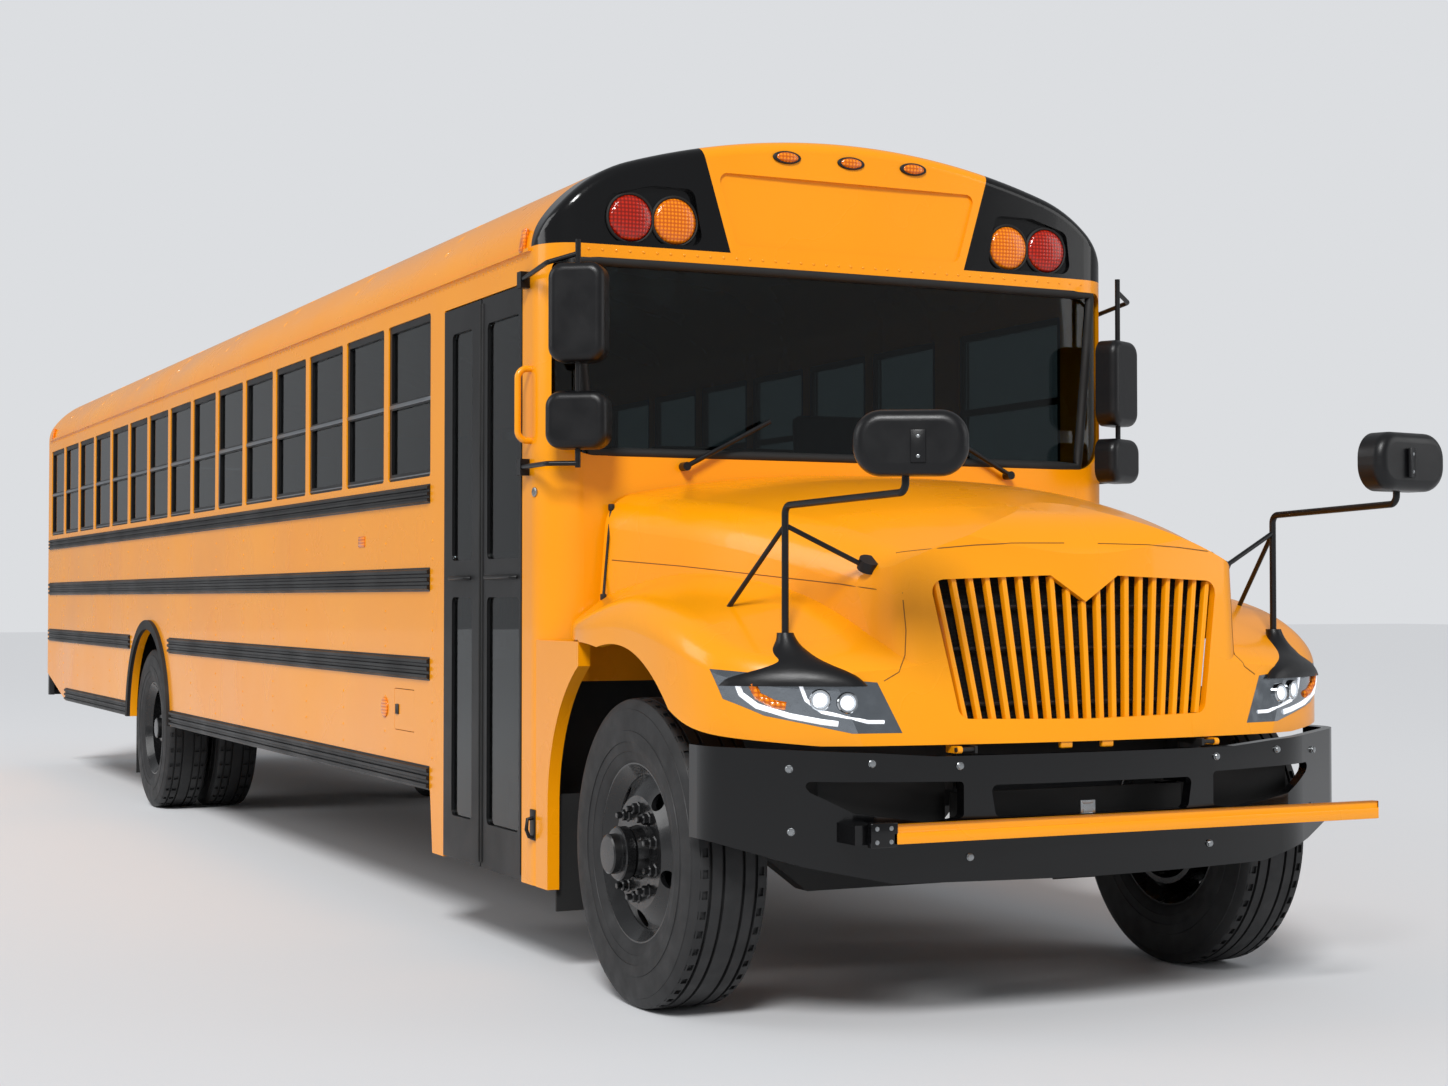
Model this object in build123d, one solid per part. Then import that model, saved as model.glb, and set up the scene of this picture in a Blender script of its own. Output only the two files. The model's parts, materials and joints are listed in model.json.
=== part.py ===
from build123d import *
from math import cos, radians
import os

# A full-length conventional school bus, hood ahead of the windshield.
# Millimetres. +X is the bus's left (driver's) side, +Y its rear and +Z up.
# Lengths along the bus are measured from the body's front corner post. The finished
# pieces are moved together at the end, so that the origin is the middle of the floor
# area that the whole bus covers.

# Body shell
body_width = 2438.0
body_length = 11091.0
wall = 45.0
eave_z = 2600.0
roof_foot_z = 2560.0
shoulder_r, shoulder_angle = 200.0, 35.0
haunch_r, haunch_angle = 550.0, 38.0
skirt_z = 555.0
post_foot_z = 306.0
floor_z = 1090.0
floor_thickness = 50.0
seat_gap = 0.3

# Body ends
front_bow = 125.0
corner_setback = 95.0
corner_r = 150.0
cap_z = 2610.0
cap_depth = 60.0
cap_edge_r = 45.0
cap_panel_top_half = 618.0
cap_panel_foot_half = 502.0
tail_depth = 166.0
tail_edge_r = 90.0
tail_cut_y = body_length - 941.0
tail_cut_z = 760.0

# Warning lamps
warning_lamp_x = (719.0, 896.0)
warning_lamp_z = 2713.0
warning_lamp_r = 84.0
lamp_recess_y = -92.0
lamp_socket_depth = 10.0

# Side windows
window_pitch = 647.0
window_pillar = 65.0
window_first_y = 1217.0
window_count = int((body_length - tail_depth - window_first_y) // window_pitch)
window_sill_z = 1835.0
window_head_z = 2504.0
window_corner_r = 18.0
window_mid_z = 2157.0
windshield_margin = 37.0
glass_inset = 14.0
sash_bar = 30.0
sash_depth = 32.0
glass_thickness = 6.0
driver_window_y = (215.0, 1010.0)

# Entry door
door_y = (146.0, 1038.0)
door_foot_z = 312.0
door_head_z = 2482.0
leaf_depth = 36.0
leaf_gap = 12.0
leaf_edge_gap = 6.0
leaf_band_z = (1340.0, 1484.0)
leaf_kick_z = 480.0
leaf_top_rail = 100.0
door_pivot_out = 6.0

# Entry steps: nosing x and tread z of each step, from the lowest up
step_x = (-940.0, -700.0, -460.0)
step_z = (350.0, 597.0, 844.0)
step_y = (152.0, 1032.0)
step_sheet = 8.0

# Rear door
rear_door_half = 380.0
rear_door_z = (1110.0, 2420.0)
rear_door_depth = 40.0
rear_door_pivot_out = 8.0
rear_window_half = 280.0
rear_window_z = (1860.0, 2300.0)
rear_side_window_x = (520.0, 990.0)

# Fuel door: its opening's low and high corners in (y, z)
fuel_door_low = (1417.0, 778.0)
fuel_door_high = (1695.0, 955.0)
fuel_door_depth = 12.0
fuel_door_gap = 3.0
fuel_pivot_out = 3.0

# Wheels and axles
front_axle_y = -788.0
rear_axle_y = 7010.0
tyre_r = 505.0
tyre_width = 276.0
tread_width = 226.0
rim_r = 285.75
bead_half = 103.7
tyre_face_x = body_width / 2 - 24.0
dual_spacing = 311.0
hand_hole_count = 5
hand_hole_r = 29.0
hand_hole_ring_r = 215.0
front_tyre_x = tyre_face_x - tyre_width / 2
kingpin_x = front_tyre_x - 152.0
kingpin_r = 24.0
front_spindle_r = 42.0
rear_spindle_r = 48.0
spring_x = (348.0, 428.0)
shaft_front_y = 1090.0

# Frame
rail_outer_x = 432.0
rail_flange = 76.0
rail_web = 9.0
rail_z = (740.0, 994.0)
rail_y = (-1560.0, body_length - 101.0)
cross_member_y = (-1500.0, 1300.0, 2200.0, 4200.0, 6100.0, 7900.0, body_length - 1491.0, body_length - 191.0)
outrigger_y = (1200.0, 3200.0, 5200.0, 8800.0, body_length - 691.0)

# Wheel openings
front_arch_r = 585.0
front_arch_y = -700.0
front_arch_z = 600.0
rear_arch_r = 610.0
rear_arch_y = 6950.0
rear_arch_z = 530.0
arch_trim = 58.0
arch_trim_out = 22.0
wheelhouse_x = 545.0
wheelhouse_z = 1205.0
wheelhouse_span = (rear_arch_y - rear_arch_r - 15, rear_arch_y + rear_arch_r + 15)

# Rub rails: height of the lower edge and of the upper edge
rail_bands = ((1723.0, 1804.0), (1363.0, 1462.0), (999.0, 1096.0), (555.0, 653.0))
rub_rail_out = 14.0
rub_rail_foot = 4.0

# Hood
hood_wall = 28.0
hood_rear_y = -132.0
fender_tip_y = -402.0
fender_seam_z = 1187.0
hood_seam = 6.0
hood_pivot_y = -1678.0
hood_pivot_z = 874.0
hood_pin_r = 7.0
hood_ear_r = 11.0
hood_ear_x = (476.0, 492.0)
lamp_depth = 60.0
lamp_rear_y = -1290.0
crossview_pole = (941.0, -1412.0)
crossview_pole_r = 11.0
crossview_arm_z = 1620.0
hood_foot_z = 889.0
nose_y = -1688.0
nose_bow_r = 3600.0
nose_lean = 0.075
nose_half = 628.0
nose_corner_r = 100.0
nose_crest = (-1645.0, 1566.0)
nose_crest_slope = 0.36
nose_top_r = 230.0

# Grille: bars each side of the middle one
grille_bars = 9
grille_bar_half = 13.0
grille_bar_setback = 12.0
grille_bar_depth = 34.0

# Bumpers and crossing gate
bumper_face_y = -1712.0
bumper_top_z = 856.0
bumper_foot_z = 470.0
bumper_end_foot_z = 610.0
bumper_depth = 40.0
bumper_side_gap = 10.0
bumper_end_y = -1290.0
gate_pivot_x = -830.0
gate_z = (606.0, 664.0)
gate_tip_x = 1096.0
gate_depth = 30.0
gate_back_y = bumper_face_y - 12

# Seats
seat_pitch = 745.0
seat_first_y = 1560.0
seat_rows = int((body_length - tail_depth - seat_first_y) // seat_pitch)
seat_height = 310.0
aisle_half = 150.0
seat_wall_gap = 34.0

# Side mirrors
side_mirror_y = -225.0
side_mirror_in = 69.0
side_mirror_arm_z = (1810.0, 2490.0)

# What stands out from the sides
side_reach = 62.0
half_width = body_width / 2
drip_rail_z = (2594.0, 2606.0)
drip_rail_out = 12.0
inner_half = half_width - wall
stop_arm_y = 330.0
stop_arm_x = half_width + 40


def slab(x, y, z):
    # A block between the low and high values of x, y and z.
    centre = Pos((x[0] + x[1]) / 2, (y[0] + y[1]) / 2, (z[0] + z[1]) / 2)
    return centre * Box(x[1] - x[0], y[1] - y[0], z[1] - z[0])


def side_prism(face, x):
    # A face drawn in (y, z), drawn out across the bus from x[0] to x[1].
    return extrude(Plane.YZ.offset(x[0]) * face, x[1] - x[0], dir=(1, 0, 0))


def front_prism(face, y):
    # A face drawn in (x, z), drawn out along the bus from y[0] to y[1].
    return extrude(Plane.XZ.offset(-y[1]) * face, y[1] - y[0], dir=(0, -1, 0))


def plan_prism(face, z):
    # A face drawn in (x, y), drawn up from z[0] to z[1].
    return extrude(Plane.XY.offset(z[0]) * face, z[1] - z[0], dir=(0, 0, 1))


def outline(points):
    return Polygon(*points, align=None)


def window_face(low, high, radius):
    # A rectangle with round corners from its low and high corners.
    face = outline([low, (high[0], low[1]), high, (low[0], high[1])])
    return fillet(face.vertices(), radius)


def pane_face(low, high, radius):
    # The glass of such an opening, clear of its edge by the seating gap.
    gap = seat_gap
    return window_face((low[0] + gap, low[1] + gap), (high[0] - gap, high[1] - gap), radius - gap)


def both_sides(shape):
    return shape + mirror(shape, about=Plane.YZ)


def rod(start, end, radius):
    # A straight round bar between two points.
    line = Vector(*end) - Vector(*start)
    return extrude(Plane(origin=start, z_dir=line) * Circle(radius), line.length)


def bent_rod(points, bend_r, radius):
    # A round bar along straight runs joined by arcs.
    path = FilletPolyline(*points, radius=bend_r)
    start = Plane(origin=points[0], z_dir=path % 0)
    return sweep(start * Circle(radius), path=path)


def body_section(inset, foot_z):
    # The body's cross-section: upright sides and a roof of five tangent arcs.
    half = half_width - inset
    turn = radians(shoulder_angle)
    crown_turn = radians(shoulder_angle + haunch_angle)
    run = shoulder_r * (1 - cos(turn)) + haunch_r * (cos(turn) - cos(crown_turn))
    crown_r = (half_width - run) / cos(crown_turn)
    side = Line((half, foot_z), (half, eave_z))
    shoulder = JernArc(side @ 1, (0, 1), shoulder_r - inset, shoulder_angle)
    haunch = JernArc(shoulder @ 1, shoulder % 1, haunch_r - inset, haunch_angle)
    crown = JernArc(haunch @ 1, haunch % 1, crown_r - inset, 90 - shoulder_angle - haunch_angle)
    right = side + shoulder + haunch + crown
    left = mirror(right, about=Plane.YZ)
    foot = Line((-half, foot_z), (half, foot_z))
    return make_face(right + left + foot)


def front_plan(inset, back_y):
    # The body's front seen from above: a bowed face between two round corners.
    half = half_width - inset
    bow = ThreePointArc(
        (-half, inset - corner_setback), (0, inset - front_bow), (half, inset - corner_setback)
    )
    back = Polyline(bow @ 1, (half, back_y), (-half, back_y), bow @ 0)
    face = make_face(bow + back)
    corners = face.vertices().sort_by(Axis.Y)[:2]
    return fillet(corners, corner_r - inset)


def side_window_spans():
    # Low and high y of each passenger window.
    width = window_pitch - window_pillar
    starts = [window_first_y + window_pitch * i for i in range(window_count)]
    return [(start, start + width) for start in starts]


def make_roof():
    span = (cap_depth, body_length - tail_depth)
    skin = front_prism(body_section(0, roof_foot_z), span)
    room = front_prism(body_section(wall, roof_foot_z - 1), span)
    drip = slab((half_width - 1, half_width + drip_rail_out), span, drip_rail_z)
    return skin - room + both_sides(drip)


def make_front_cap():
    # The moulded cap over the windshield, with lamp recesses and a sunk sign panel.
    span = (-front_bow - 50, cap_depth)
    height = (cap_z, eave_z + 600)
    skin = front_prism(body_section(0, cap_z), span) & plan_prism(front_plan(0, cap_depth), height)
    front_edges = skin.faces().sort_by(Axis.Y)[0].edges()
    top_edges = [edge for edge in front_edges if edge.center().Z > cap_z + 1]
    skin = fillet(top_edges, cap_edge_r)
    room_height = (cap_z - 1, eave_z + 600)
    room = front_prism(body_section(wall, cap_z - 1), span)
    room = room & plan_prism(front_plan(wall, cap_depth + 1), room_height)
    sign = outline([(-478, 2640), (478, 2640), (555, 2905), (-555, 2905)])
    sign = front_prism(fillet(sign.vertices(), 30), (-front_bow - 50, -front_bow + 16))
    shell = skin - room - sign
    recess = outline([(612, 2626), (1010, 2626), (990, 2790), (820, 2835), (650, 2835)])
    recess = front_prism(fillet(recess.vertices(), 40), (-front_bow - 50, lamp_recess_y))
    shell -= both_sides(recess)
    for x in warning_lamp_x:
        seat = (x, lamp_recess_y + lamp_socket_depth, warning_lamp_z)
        front = (x, -front_bow - 50, warning_lamp_z)
        shell -= both_sides(rod(seat, front, warning_lamp_r + seat_gap))
    top_z = eave_z + 600
    panel = outline(
        [
            (-cap_panel_foot_half, cap_z - 1),
            (cap_panel_foot_half, cap_z - 1),
            (cap_panel_top_half + 60, top_z),
            (-cap_panel_top_half - 60, top_z),
        ]
    )
    cutter = front_prism(panel, (-front_bow - 60, cap_depth + 1))
    lamp_hood = (shell - cutter).solids().sort_by(Axis.X)[0]
    return shell & cutter, both_sides(lamp_hood)


def make_tail():
    # The rear wall and the round rear end of the roof, with the emergency door's opening.
    span = (body_length - tail_depth, body_length)
    skin = front_prism(body_section(0, skirt_z), span)
    rear_edges = skin.faces().sort_by(Axis.Y)[-1].edges()
    round_edges = [edge for edge in rear_edges if edge.center().Z > skirt_z + 1]
    skin = fillet(round_edges, tail_edge_r)
    room = front_prism(body_section(wall, skirt_z - 1), (span[0] - 1, body_length - wall))
    door = window_face((-rear_door_half, rear_door_z[0]), (rear_door_half, rear_door_z[1]), 40)
    shell = skin - room - front_prism(door, (span[0], body_length + 1))
    for side in (-1, 1):
        x = sorted([side * value for value in rear_side_window_x])
        pane = window_face((x[0], rear_window_z[0]), (x[1], rear_window_z[1]), 60)
        shell -= front_prism(pane, (span[0], body_length + 1))
    return shell - tail_cut()


def tail_cut():
    # The wedge that rises from the skirt to the rear bumper.
    wedge = outline(
        [
            (tail_cut_y, skirt_z - 10),
            (body_length + 10, skirt_z - 10),
            (body_length + 10, tail_cut_z),
            (body_length, tail_cut_z),
            (tail_cut_y, skirt_z),
        ]
    )
    return side_prism(wedge, (-half_width - 50, half_width + 50))


def rear_arch(radius):
    # The rear wheel opening: a half circle on upright sides.
    circle = Pos(rear_arch_y, rear_arch_z) * Circle(radius)
    legs = Pos(rear_arch_y, 0) * Rectangle(2 * radius, 2 * rear_arch_z)
    return circle + legs


def make_side_wall(side):
    start = door_y[1] if side < 0 else door_y[0]
    sheet = outline(
        [
            (start, skirt_z),
            (body_length - tail_depth, skirt_z),
            (body_length - tail_depth, roof_foot_z),
            (door_y[0], roof_foot_z),
            (door_y[0], door_head_z + leaf_edge_gap),
            (start, door_head_z + leaf_edge_gap),
        ]
    )
    if side < 0:
        sheet += outline(
            [
                (start, post_foot_z),
                (window_first_y - 40, post_foot_z),
                (window_first_y - 8, skirt_z + 1),
                (start, skirt_z + 1),
            ]
        )
    spans = side_window_spans()
    if side > 0:
        spans = spans + [driver_window_y]
    for low, high in spans:
        sheet -= window_face((low, window_sill_z), (high, window_head_z), window_corner_r)
    sheet -= rear_arch(rear_arch_r)
    if side < 0:
        x = (-half_width, -inner_half)
        sheet -= window_face(fuel_door_low, fuel_door_high, 10)
    else:
        x = (inner_half, half_width)
    panel = side_prism(sheet, x) - tail_cut()
    if side > 0:
        hinge_y = (stop_arm_y - 20, stop_arm_y + 90)
        panel += slab((inner_half + 1, stop_arm_x - seat_gap), hinge_y, (1500, 1680))
    return panel


def make_sash(low, high, x):
    # One window frame with a cross bar, a little smaller than its opening.
    frame = pane_face((low, window_sill_z), (high, window_head_z), window_corner_r)
    for pane in sash_panes(low, high):
        frame -= outline(pane)
    return side_prism(frame, x)


def sash_panes(low, high):
    # Corners of the lower and the upper pane of one window.
    y = (low + sash_bar, high - sash_bar)
    heights = (
        (window_sill_z + sash_bar, window_mid_z - sash_bar / 2),
        (window_mid_z + sash_bar / 2, window_head_z - sash_bar),
    )
    return [[(y[0], z[0]), (y[1], z[0]), (y[1], z[1]), (y[0], z[1])] for z in heights]


def make_windows():
    # Sashes and panes of both sides, and the panes of the rear wall.
    depth = (wall - sash_depth) / 2
    glass_depth = (wall - glass_thickness) / 2
    sashes = []
    panes = []
    for side in (-1, 1):
        sash_x = sorted([side * (half_width - depth), side * (inner_half + depth)])
        glass_x = sorted([side * (half_width - glass_depth), side * (inner_half + glass_depth)])
        spans = side_window_spans()
        if side > 0:
            spans = spans + [driver_window_y]
        for low, high in spans:
            sashes.append(make_sash(low, high, sash_x))
            for pane in sash_panes(low, high):
                z = (pane[0][1] + seat_gap, pane[2][1] - seat_gap)
                y = (pane[0][0] + seat_gap, pane[1][0] - seat_gap)
                panes.append(slab(glass_x, y, z))
        x = sorted([side * value for value in rear_side_window_x])
        face = pane_face((x[0], rear_window_z[0]), (x[1], rear_window_z[1]), 60)
        glass_y = body_length - glass_depth
        panes.append(front_prism(face, (glass_y - glass_thickness, glass_y)))
    return Compound(children=sashes), Compound(children=panes)


def windshield_outline(grow):
    # Seen from the front: round lower corners, small upper ones.
    half = body_width / 2 - windshield_margin + grow
    face = outline([(-half, 1848 - grow), (half, 1848 - grow), (half, 2560 + grow), (-half, 2560 + grow)])
    low = face.vertices().sort_by(Axis.Y)[:2]
    face = fillet(low, 150 + grow)
    high = face.vertices().sort_by(Axis.Y)[-2:]
    return fillet(high, 45 + grow)


def make_cowl():
    # The body's front: windshield frame, corner posts, firewall and the panels that
    # close the front wheel openings from behind.
    height = (post_foot_z, cap_z)
    shell = plan_prism(front_plan(0, door_y[0]), height)
    shell -= plan_prism(front_plan(wall, door_y[0] + 1), (post_foot_z - 1, cap_z + 1))
    shell -= front_prism(windshield_outline(0), (-front_bow - 60, 40))
    below = (post_foot_z - 1, floor_z - floor_thickness)
    shell -= slab((-inner_half, inner_half), (-front_bow - 60, 60), below)
    shell -= slab((-half_width - 1, half_width + 1), (cap_depth, door_y[0] + 1), (roof_foot_z, cap_z + 1))
    shell += both_sides(slab((inner_half, half_width), (fender_tip_y, 0), (post_foot_z, fender_seam_z)))
    return shell - front_arch()


def front_arch():
    # The front wheel opening: a round arch whose rear side drops straight to the ground.
    circle = Pos(front_arch_y, front_arch_z) * Circle(front_arch_r)
    legs = Pos(front_arch_y, 0) * Rectangle(2 * front_arch_r, 2 * front_arch_z)
    return side_prism(circle + legs, (-half_width - 10, half_width + 10))


def make_windshield():
    face = windshield_outline(-seat_gap)
    pane = plan_prism(front_plan(glass_inset, 60), (1800, 2600))
    pane -= plan_prism(front_plan(glass_inset + glass_thickness, 61), (1799, 2601))
    return pane & front_prism(face, (-front_bow - 60, 40))


def make_floor():
    half = inner_half
    plan = front_plan(wall + seat_gap, body_length - wall - seat_gap)
    plate = plan_prism(plan, (floor_z - floor_thickness, floor_z))
    cut_x = (-half - 1, step_x[2] + step_sheet)
    plate -= slab(cut_x, (step_y[0] - step_sheet, step_y[1] + step_sheet), (floor_z - 60, floor_z + 1))
    low, high = wheelhouse_span
    return plate - both_sides(slab((wheelhouse_x, half + 1), (low, high), (floor_z - 60, floor_z + 1)))


def make_wheelhouses():
    # Sheet boxes over the rear wheels, open below, in the floor's two cut-outs.
    low, high = wheelhouse_span
    foot = floor_z - floor_thickness
    outer = slab((wheelhouse_x, inner_half - seat_gap), (low, high), (foot, wheelhouse_z))
    sheet = step_sheet
    room_x = (wheelhouse_x + sheet, inner_half)
    inner = slab(room_x, (low + sheet, high - sheet), (foot - 1, wheelhouse_z - sheet))
    house = outer - inner
    return Compound(children=[house, mirror(house, about=Plane.YZ)])


def make_steps():
    # Three treads and risers between two stepped side plates.
    edge = seat_gap - inner_half
    treads = [(edge, step_z[0])]
    for x, z, up in zip(step_x, step_z, step_z[1:] + (floor_z,)):
        treads.append((x, z))
        treads.append((x, up))
    low = [(x + step_sheet, z - step_sheet) for x, z in treads[::-1]]
    low[-1] = (edge, step_z[0] - step_sheet)
    low[0] = (step_x[2] + step_sheet, floor_z)
    stair = front_prism(outline(treads + low), step_y)
    side_plate = outline(low + [(edge, floor_z)])
    for y in (step_y[0] - step_sheet, step_y[1]):
        stair += front_prism(side_plate, (y, y + step_sheet))
    return stair


def make_rub_rails():
    # Channel-shaped rails on both sides, cut short at the wheel openings and the doors.
    rails = []
    arch_reach = rear_arch_r + arch_trim + 12
    for side in (-1, 1):
        first = window_first_y if side < 0 else 250.0
        for index, (low, high) in enumerate(rail_bands):
            last = body_length - tail_depth
            if index < 2:
                spans = [(first, last)]
            elif index == 2:
                spans = [(first, rear_arch_y - arch_reach + 60), (rear_arch_y + arch_reach - 60, last)]
            else:
                spans = [(first, rear_arch_y - arch_reach), (rear_arch_y + arch_reach, tail_cut_y - 20)]
            for span in spans:
                rails.append(make_rub_rail(side, span, low, high))
    return Compound(children=rails)


def make_rub_rail(side, span, low, high):
    # Three ribs on a base strip.
    rib = (high - low) / 7
    x = half_width
    points = [(x, low)]
    for i in range(3):
        z = low + rib * (0.5 + 2.25 * i)
        points += [
            (x + rub_rail_foot, z),
            (x + rub_rail_out, z + rib * 0.3),
            (x + rub_rail_out, z + rib * 1.2),
            (x + rub_rail_foot, z + rib * 1.5),
        ]
    points.append((x, high))
    rail = front_prism(outline(points), span)
    return rail if side > 0 else mirror(rail, about=Plane.YZ)


def make_arch_trims():
    outer = rear_arch(rear_arch_r + arch_trim)
    ring = outer - rear_arch(rear_arch_r)
    ring -= Pos(rear_arch_y, 0) * Rectangle(3 * rear_arch_r, 2 * skirt_z)
    return both_sides(side_prism(ring, (half_width, half_width + arch_trim_out)))


def make_lamps():
    # Round warning lamps front and rear, marker lamps, tail lamps.
    red = []
    amber = []
    socket_y = lamp_recess_y + lamp_socket_depth - seat_gap
    for side in (-1, 1):
        for x, group in ((warning_lamp_x[0], amber), (warning_lamp_x[1], red)):
            group.append(lamp_disc((side * x, socket_y, warning_lamp_z), warning_lamp_r, -1))
            group.append(lamp_disc((side * x, body_length, warning_lamp_z - 20), warning_lamp_r, 1))
        for z, radius in ((1560, 84), (1290, 84)):
            red.append(lamp_disc((side * 1040, body_length, z), radius, 1))
    face = plan_prism(front_plan(0, cap_depth), (2900, 3100))
    for x in (-272, 0, 272):
        amber.append(Pos(x, -front_bow, 2982) * Box(120, 30, 50) - face)
    return Compound(children=red), Compound(children=amber)


def lamp_disc(place, radius, out):
    # A shallow dome on a short round base, facing forward (-1) or back (1).
    x, y, z = place
    base = rod((x, y, z), (x, y + out * 34, z), radius)
    return fillet(base.edges().sort_by(Axis.Y)[0 if out < 0 else -1], 12)


def hood_core_section(y, half_foot, foot_z, half_top, side_z, top_z, corner):
    # One upright slice of the hood's middle: flat sides and a crowned top.
    crown = ThreePointArc((-half_top, side_z), (0, top_z), (half_top, side_z))
    sides = Polyline(crown @ 1, (half_foot, foot_z), (-half_foot, foot_z), crown @ 0)
    face = make_face(crown + sides)
    high = [v for v in face.vertices() if v.Y > foot_z + 1]
    return Plane.XZ.offset(-y) * fillet(high, corner)


# The hood's middle. Columns: y, half width at the foot, foot z, half width at the top
# corners, z of the top corners, z of the crown, corner radius.
hood_core_rows = (
    (hood_rear_y, 1045.0, 1120.0, 1000.0, 1690.0, 1797.0, 130.0),
    (-600.0, 960.0, 1040.0, 900.0, 1640.0, 1765.0, 150.0),
    (-1150.0, 800.0, 950.0, 770.0, 1545.0, 1702.0, 160.0),
    (-1480.0, 668.0, 880.0, 688.0, 1455.0, 1632.0, 150.0),
    (-1700.0, 640.0, 860.0, 660.0, 1390.0, 1570.0, 130.0),
)

# The fenders. Columns: y, inner x, how far the outer edge lies in from the body's side,
# foot z, z at the outer edge, z at the inner edge, radius of the outer edge.
fender_rows = (
    (hood_rear_y, 930.0, 147.0, 1236.0, 1290.0, 1400.0, 10.0),
    (-200.0, 930.0, 72.0, 1190.0, 1262.0, 1405.0, 25.0),
    (-402.0, 900.0, 0.0, 1187.0, 1262.0, 1430.0, 60.0),
    (-700.0, 840.0, 0.0, 1150.0, 1322.0, 1440.0, 110.0),
    (-1000.0, 740.0, 3.0, 1060.0, 1305.0, 1410.0, 120.0),
    (-1200.0, 650.0, 15.0, 960.0, 1250.0, 1370.0, 110.0),
    (-1370.0, 560.0, 69.0, 918.0, 1175.0, 1310.0, 90.0),
    (-1500.0, 500.0, 209.0, 900.0, 1130.0, 1250.0, 80.0),
    (-1600.0, 450.0, 429.0, 884.0, 1095.0, 1200.0, 60.0),
    (-1700.0, 400.0, 659.0, 872.0, 1060.0, 1150.0, 40.0),
)


def fender_section(row, side, inset):
    y, inner, tuck, foot, out_z, in_z, corner = row
    outer = half_width - tuck - inset
    face = outline(
        [
            (side * inner, foot - inset),
            (side * outer, foot - inset),
            (side * outer, out_z - inset),
            (side * inner, in_z - inset),
        ]
    )
    corners = [v for v in face.vertices() if abs(abs(v.X) - outer) < 1 and v.Y > foot + 1]
    return Plane.XZ.offset(-y) * fillet(corners, corner)


def nose_prism(half, inset, corner):
    # All that lies behind the hood's front and above its foot. The front is a cylinder
    # whose axis leans back as it rises.
    side_y = half**2 / (2 * nose_bow_r)
    bow = ThreePointArc((-half, side_y), (0, 0), (half, side_y))
    back = Polyline(bow @ 1, (2.05 * half, -nose_y), (-2.05 * half, -nose_y), bow @ 0)
    face = make_face(bow + back)
    if corner:
        face = fillet(face.vertices().sort_by(Axis.Y)[:2], corner)
    foot = Plane((0, nose_y + inset, hood_foot_z), x_dir=(1, 0, 0), z_dir=(0, nose_lean, 1))
    prism = extrude(foot.offset(-200) * face, 1300)
    return prism - slab((-3 * half, 3 * half), (nose_y - 100, 200), (hood_foot_z - 500, hood_foot_z))


def nose_profile():
    # The nose from the side: a leaning front that rounds over into the hood's top.
    y, z = nose_crest
    face = outline([(y, z), (0, z - y * nose_crest_slope), (0, 800), (y - nose_lean * (z - 800), 800)])
    return fillet(face.vertices().sort_by_distance((y, z))[0], nose_top_r)


def hood_solid(inset):
    core = loft(
        [
            hood_core_section(y, foot - inset, low, top - inset, side - inset, crown - inset, corner)
            for y, foot, low, top, side, crown, corner in hood_core_rows
        ]
    )
    core &= nose_prism(nose_half, 0, nose_corner_r) & side_prism(nose_profile(), (-1200, 1200))
    for side in (-1, 1):
        core += loft([fender_section(row, side, inset) for row in fender_rows]) & nose_prism(1300, 0, 0)
    return core


def make_hood(form):
    inner = Pos(0, hood_wall, -2) * hood_solid(hood_wall)
    shell = form - inner - grille_opening() - both_sides(lamp_prism(seat_gap)) - front_arch()
    seam_z = (fender_seam_z - 20, fender_seam_z + hood_seam)
    shell -= both_sides(slab((inner_half - 10, half_width + 10), (fender_tip_y - hood_seam, 0), seam_z))
    shell = shell.solids().sort_by(SortBy.VOLUME)[-1]
    ear = (hood_ear() - hood_pin(seat_gap)).solid()
    return Compound(children=[shell, ear, mirror(ear, about=Plane.YZ)])


def hood_ear():
    # A hinge plate: a round eye about the pivot, a tongue under the hood's edge and an
    # upright that stands against the back of the hood's front wall.
    y, z, r = hood_pivot_y, hood_pivot_z, hood_ear_r
    eye = Pos(y, z) * Circle(r)
    back, top = y + 62, z + 56
    front = nose_y + hood_wall + hood_ear_x[1] ** 2 / (2 * nose_bow_r) + seat_gap
    lean = nose_lean * (top - hood_foot_z)
    upright = [(back, z - r), (back, top), (front + lean, top), (front, z + r)]
    plate = outline([(y, z - r), *upright, (y, z + r)])
    return side_prism(eye + plate, hood_ear_x)


def hood_pin(grow):
    axis = (hood_pivot_y, hood_pivot_z)
    return rod((rail_outer_x - rail_web, *axis), (hood_ear_x[1] + 4, *axis), hood_pin_r + grow)


def grille_outline(grow):
    # Right half from the V at the top round to the foot, and its mirror image.
    half = [(0, 1325), (127, 1408), (545, 1392), (462, 966), (0, 958)]
    left = [(-x, z) for x, z in half[-2:0:-1]]
    face = outline(half + left)
    corners = [v for v in face.vertices() if abs(v.X) > 400]
    face = fillet(corners, 40)
    return offset(face, grow, kind=Kind.INTERSECTION) if grow else face


def grille_opening():
    return front_prism(grille_outline(0), (-1800, -1500))


def make_grille():
    # Upright bars that lean with the opening's sides, each a blade with a thin front edge,
    # on three cross rails.
    face = grille_outline(-seat_gap)
    back = grille_bar_setback + grille_bar_depth
    front = nose_prism(1300, grille_bar_setback, 0) - nose_prism(1300, back, 0)
    rear = nose_prism(1300, back, 0) - nose_prism(1300, back + 14, 0)
    bars = Sketch()
    for i in range(-grille_bars, grille_bars + 1):
        top = i * 545.0 / (grille_bars + 0.5)
        foot = i * 462.0 / (grille_bars + 0.5)
        half = grille_bar_half
        bars += outline([(top - half, 1440), (top + half, 1440), (foot + half, 930), (foot - half, 930)])
    grille = front_prism(bars & face, (-1700, -1500)) & front
    for z in (1000, 1170, 1300):
        rail = outline([(-560, z), (560, z), (560, z + 20), (-560, z + 20)])
        grille += front_prism(rail & face, (-1700, -1500)) & rear
    return grille


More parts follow.
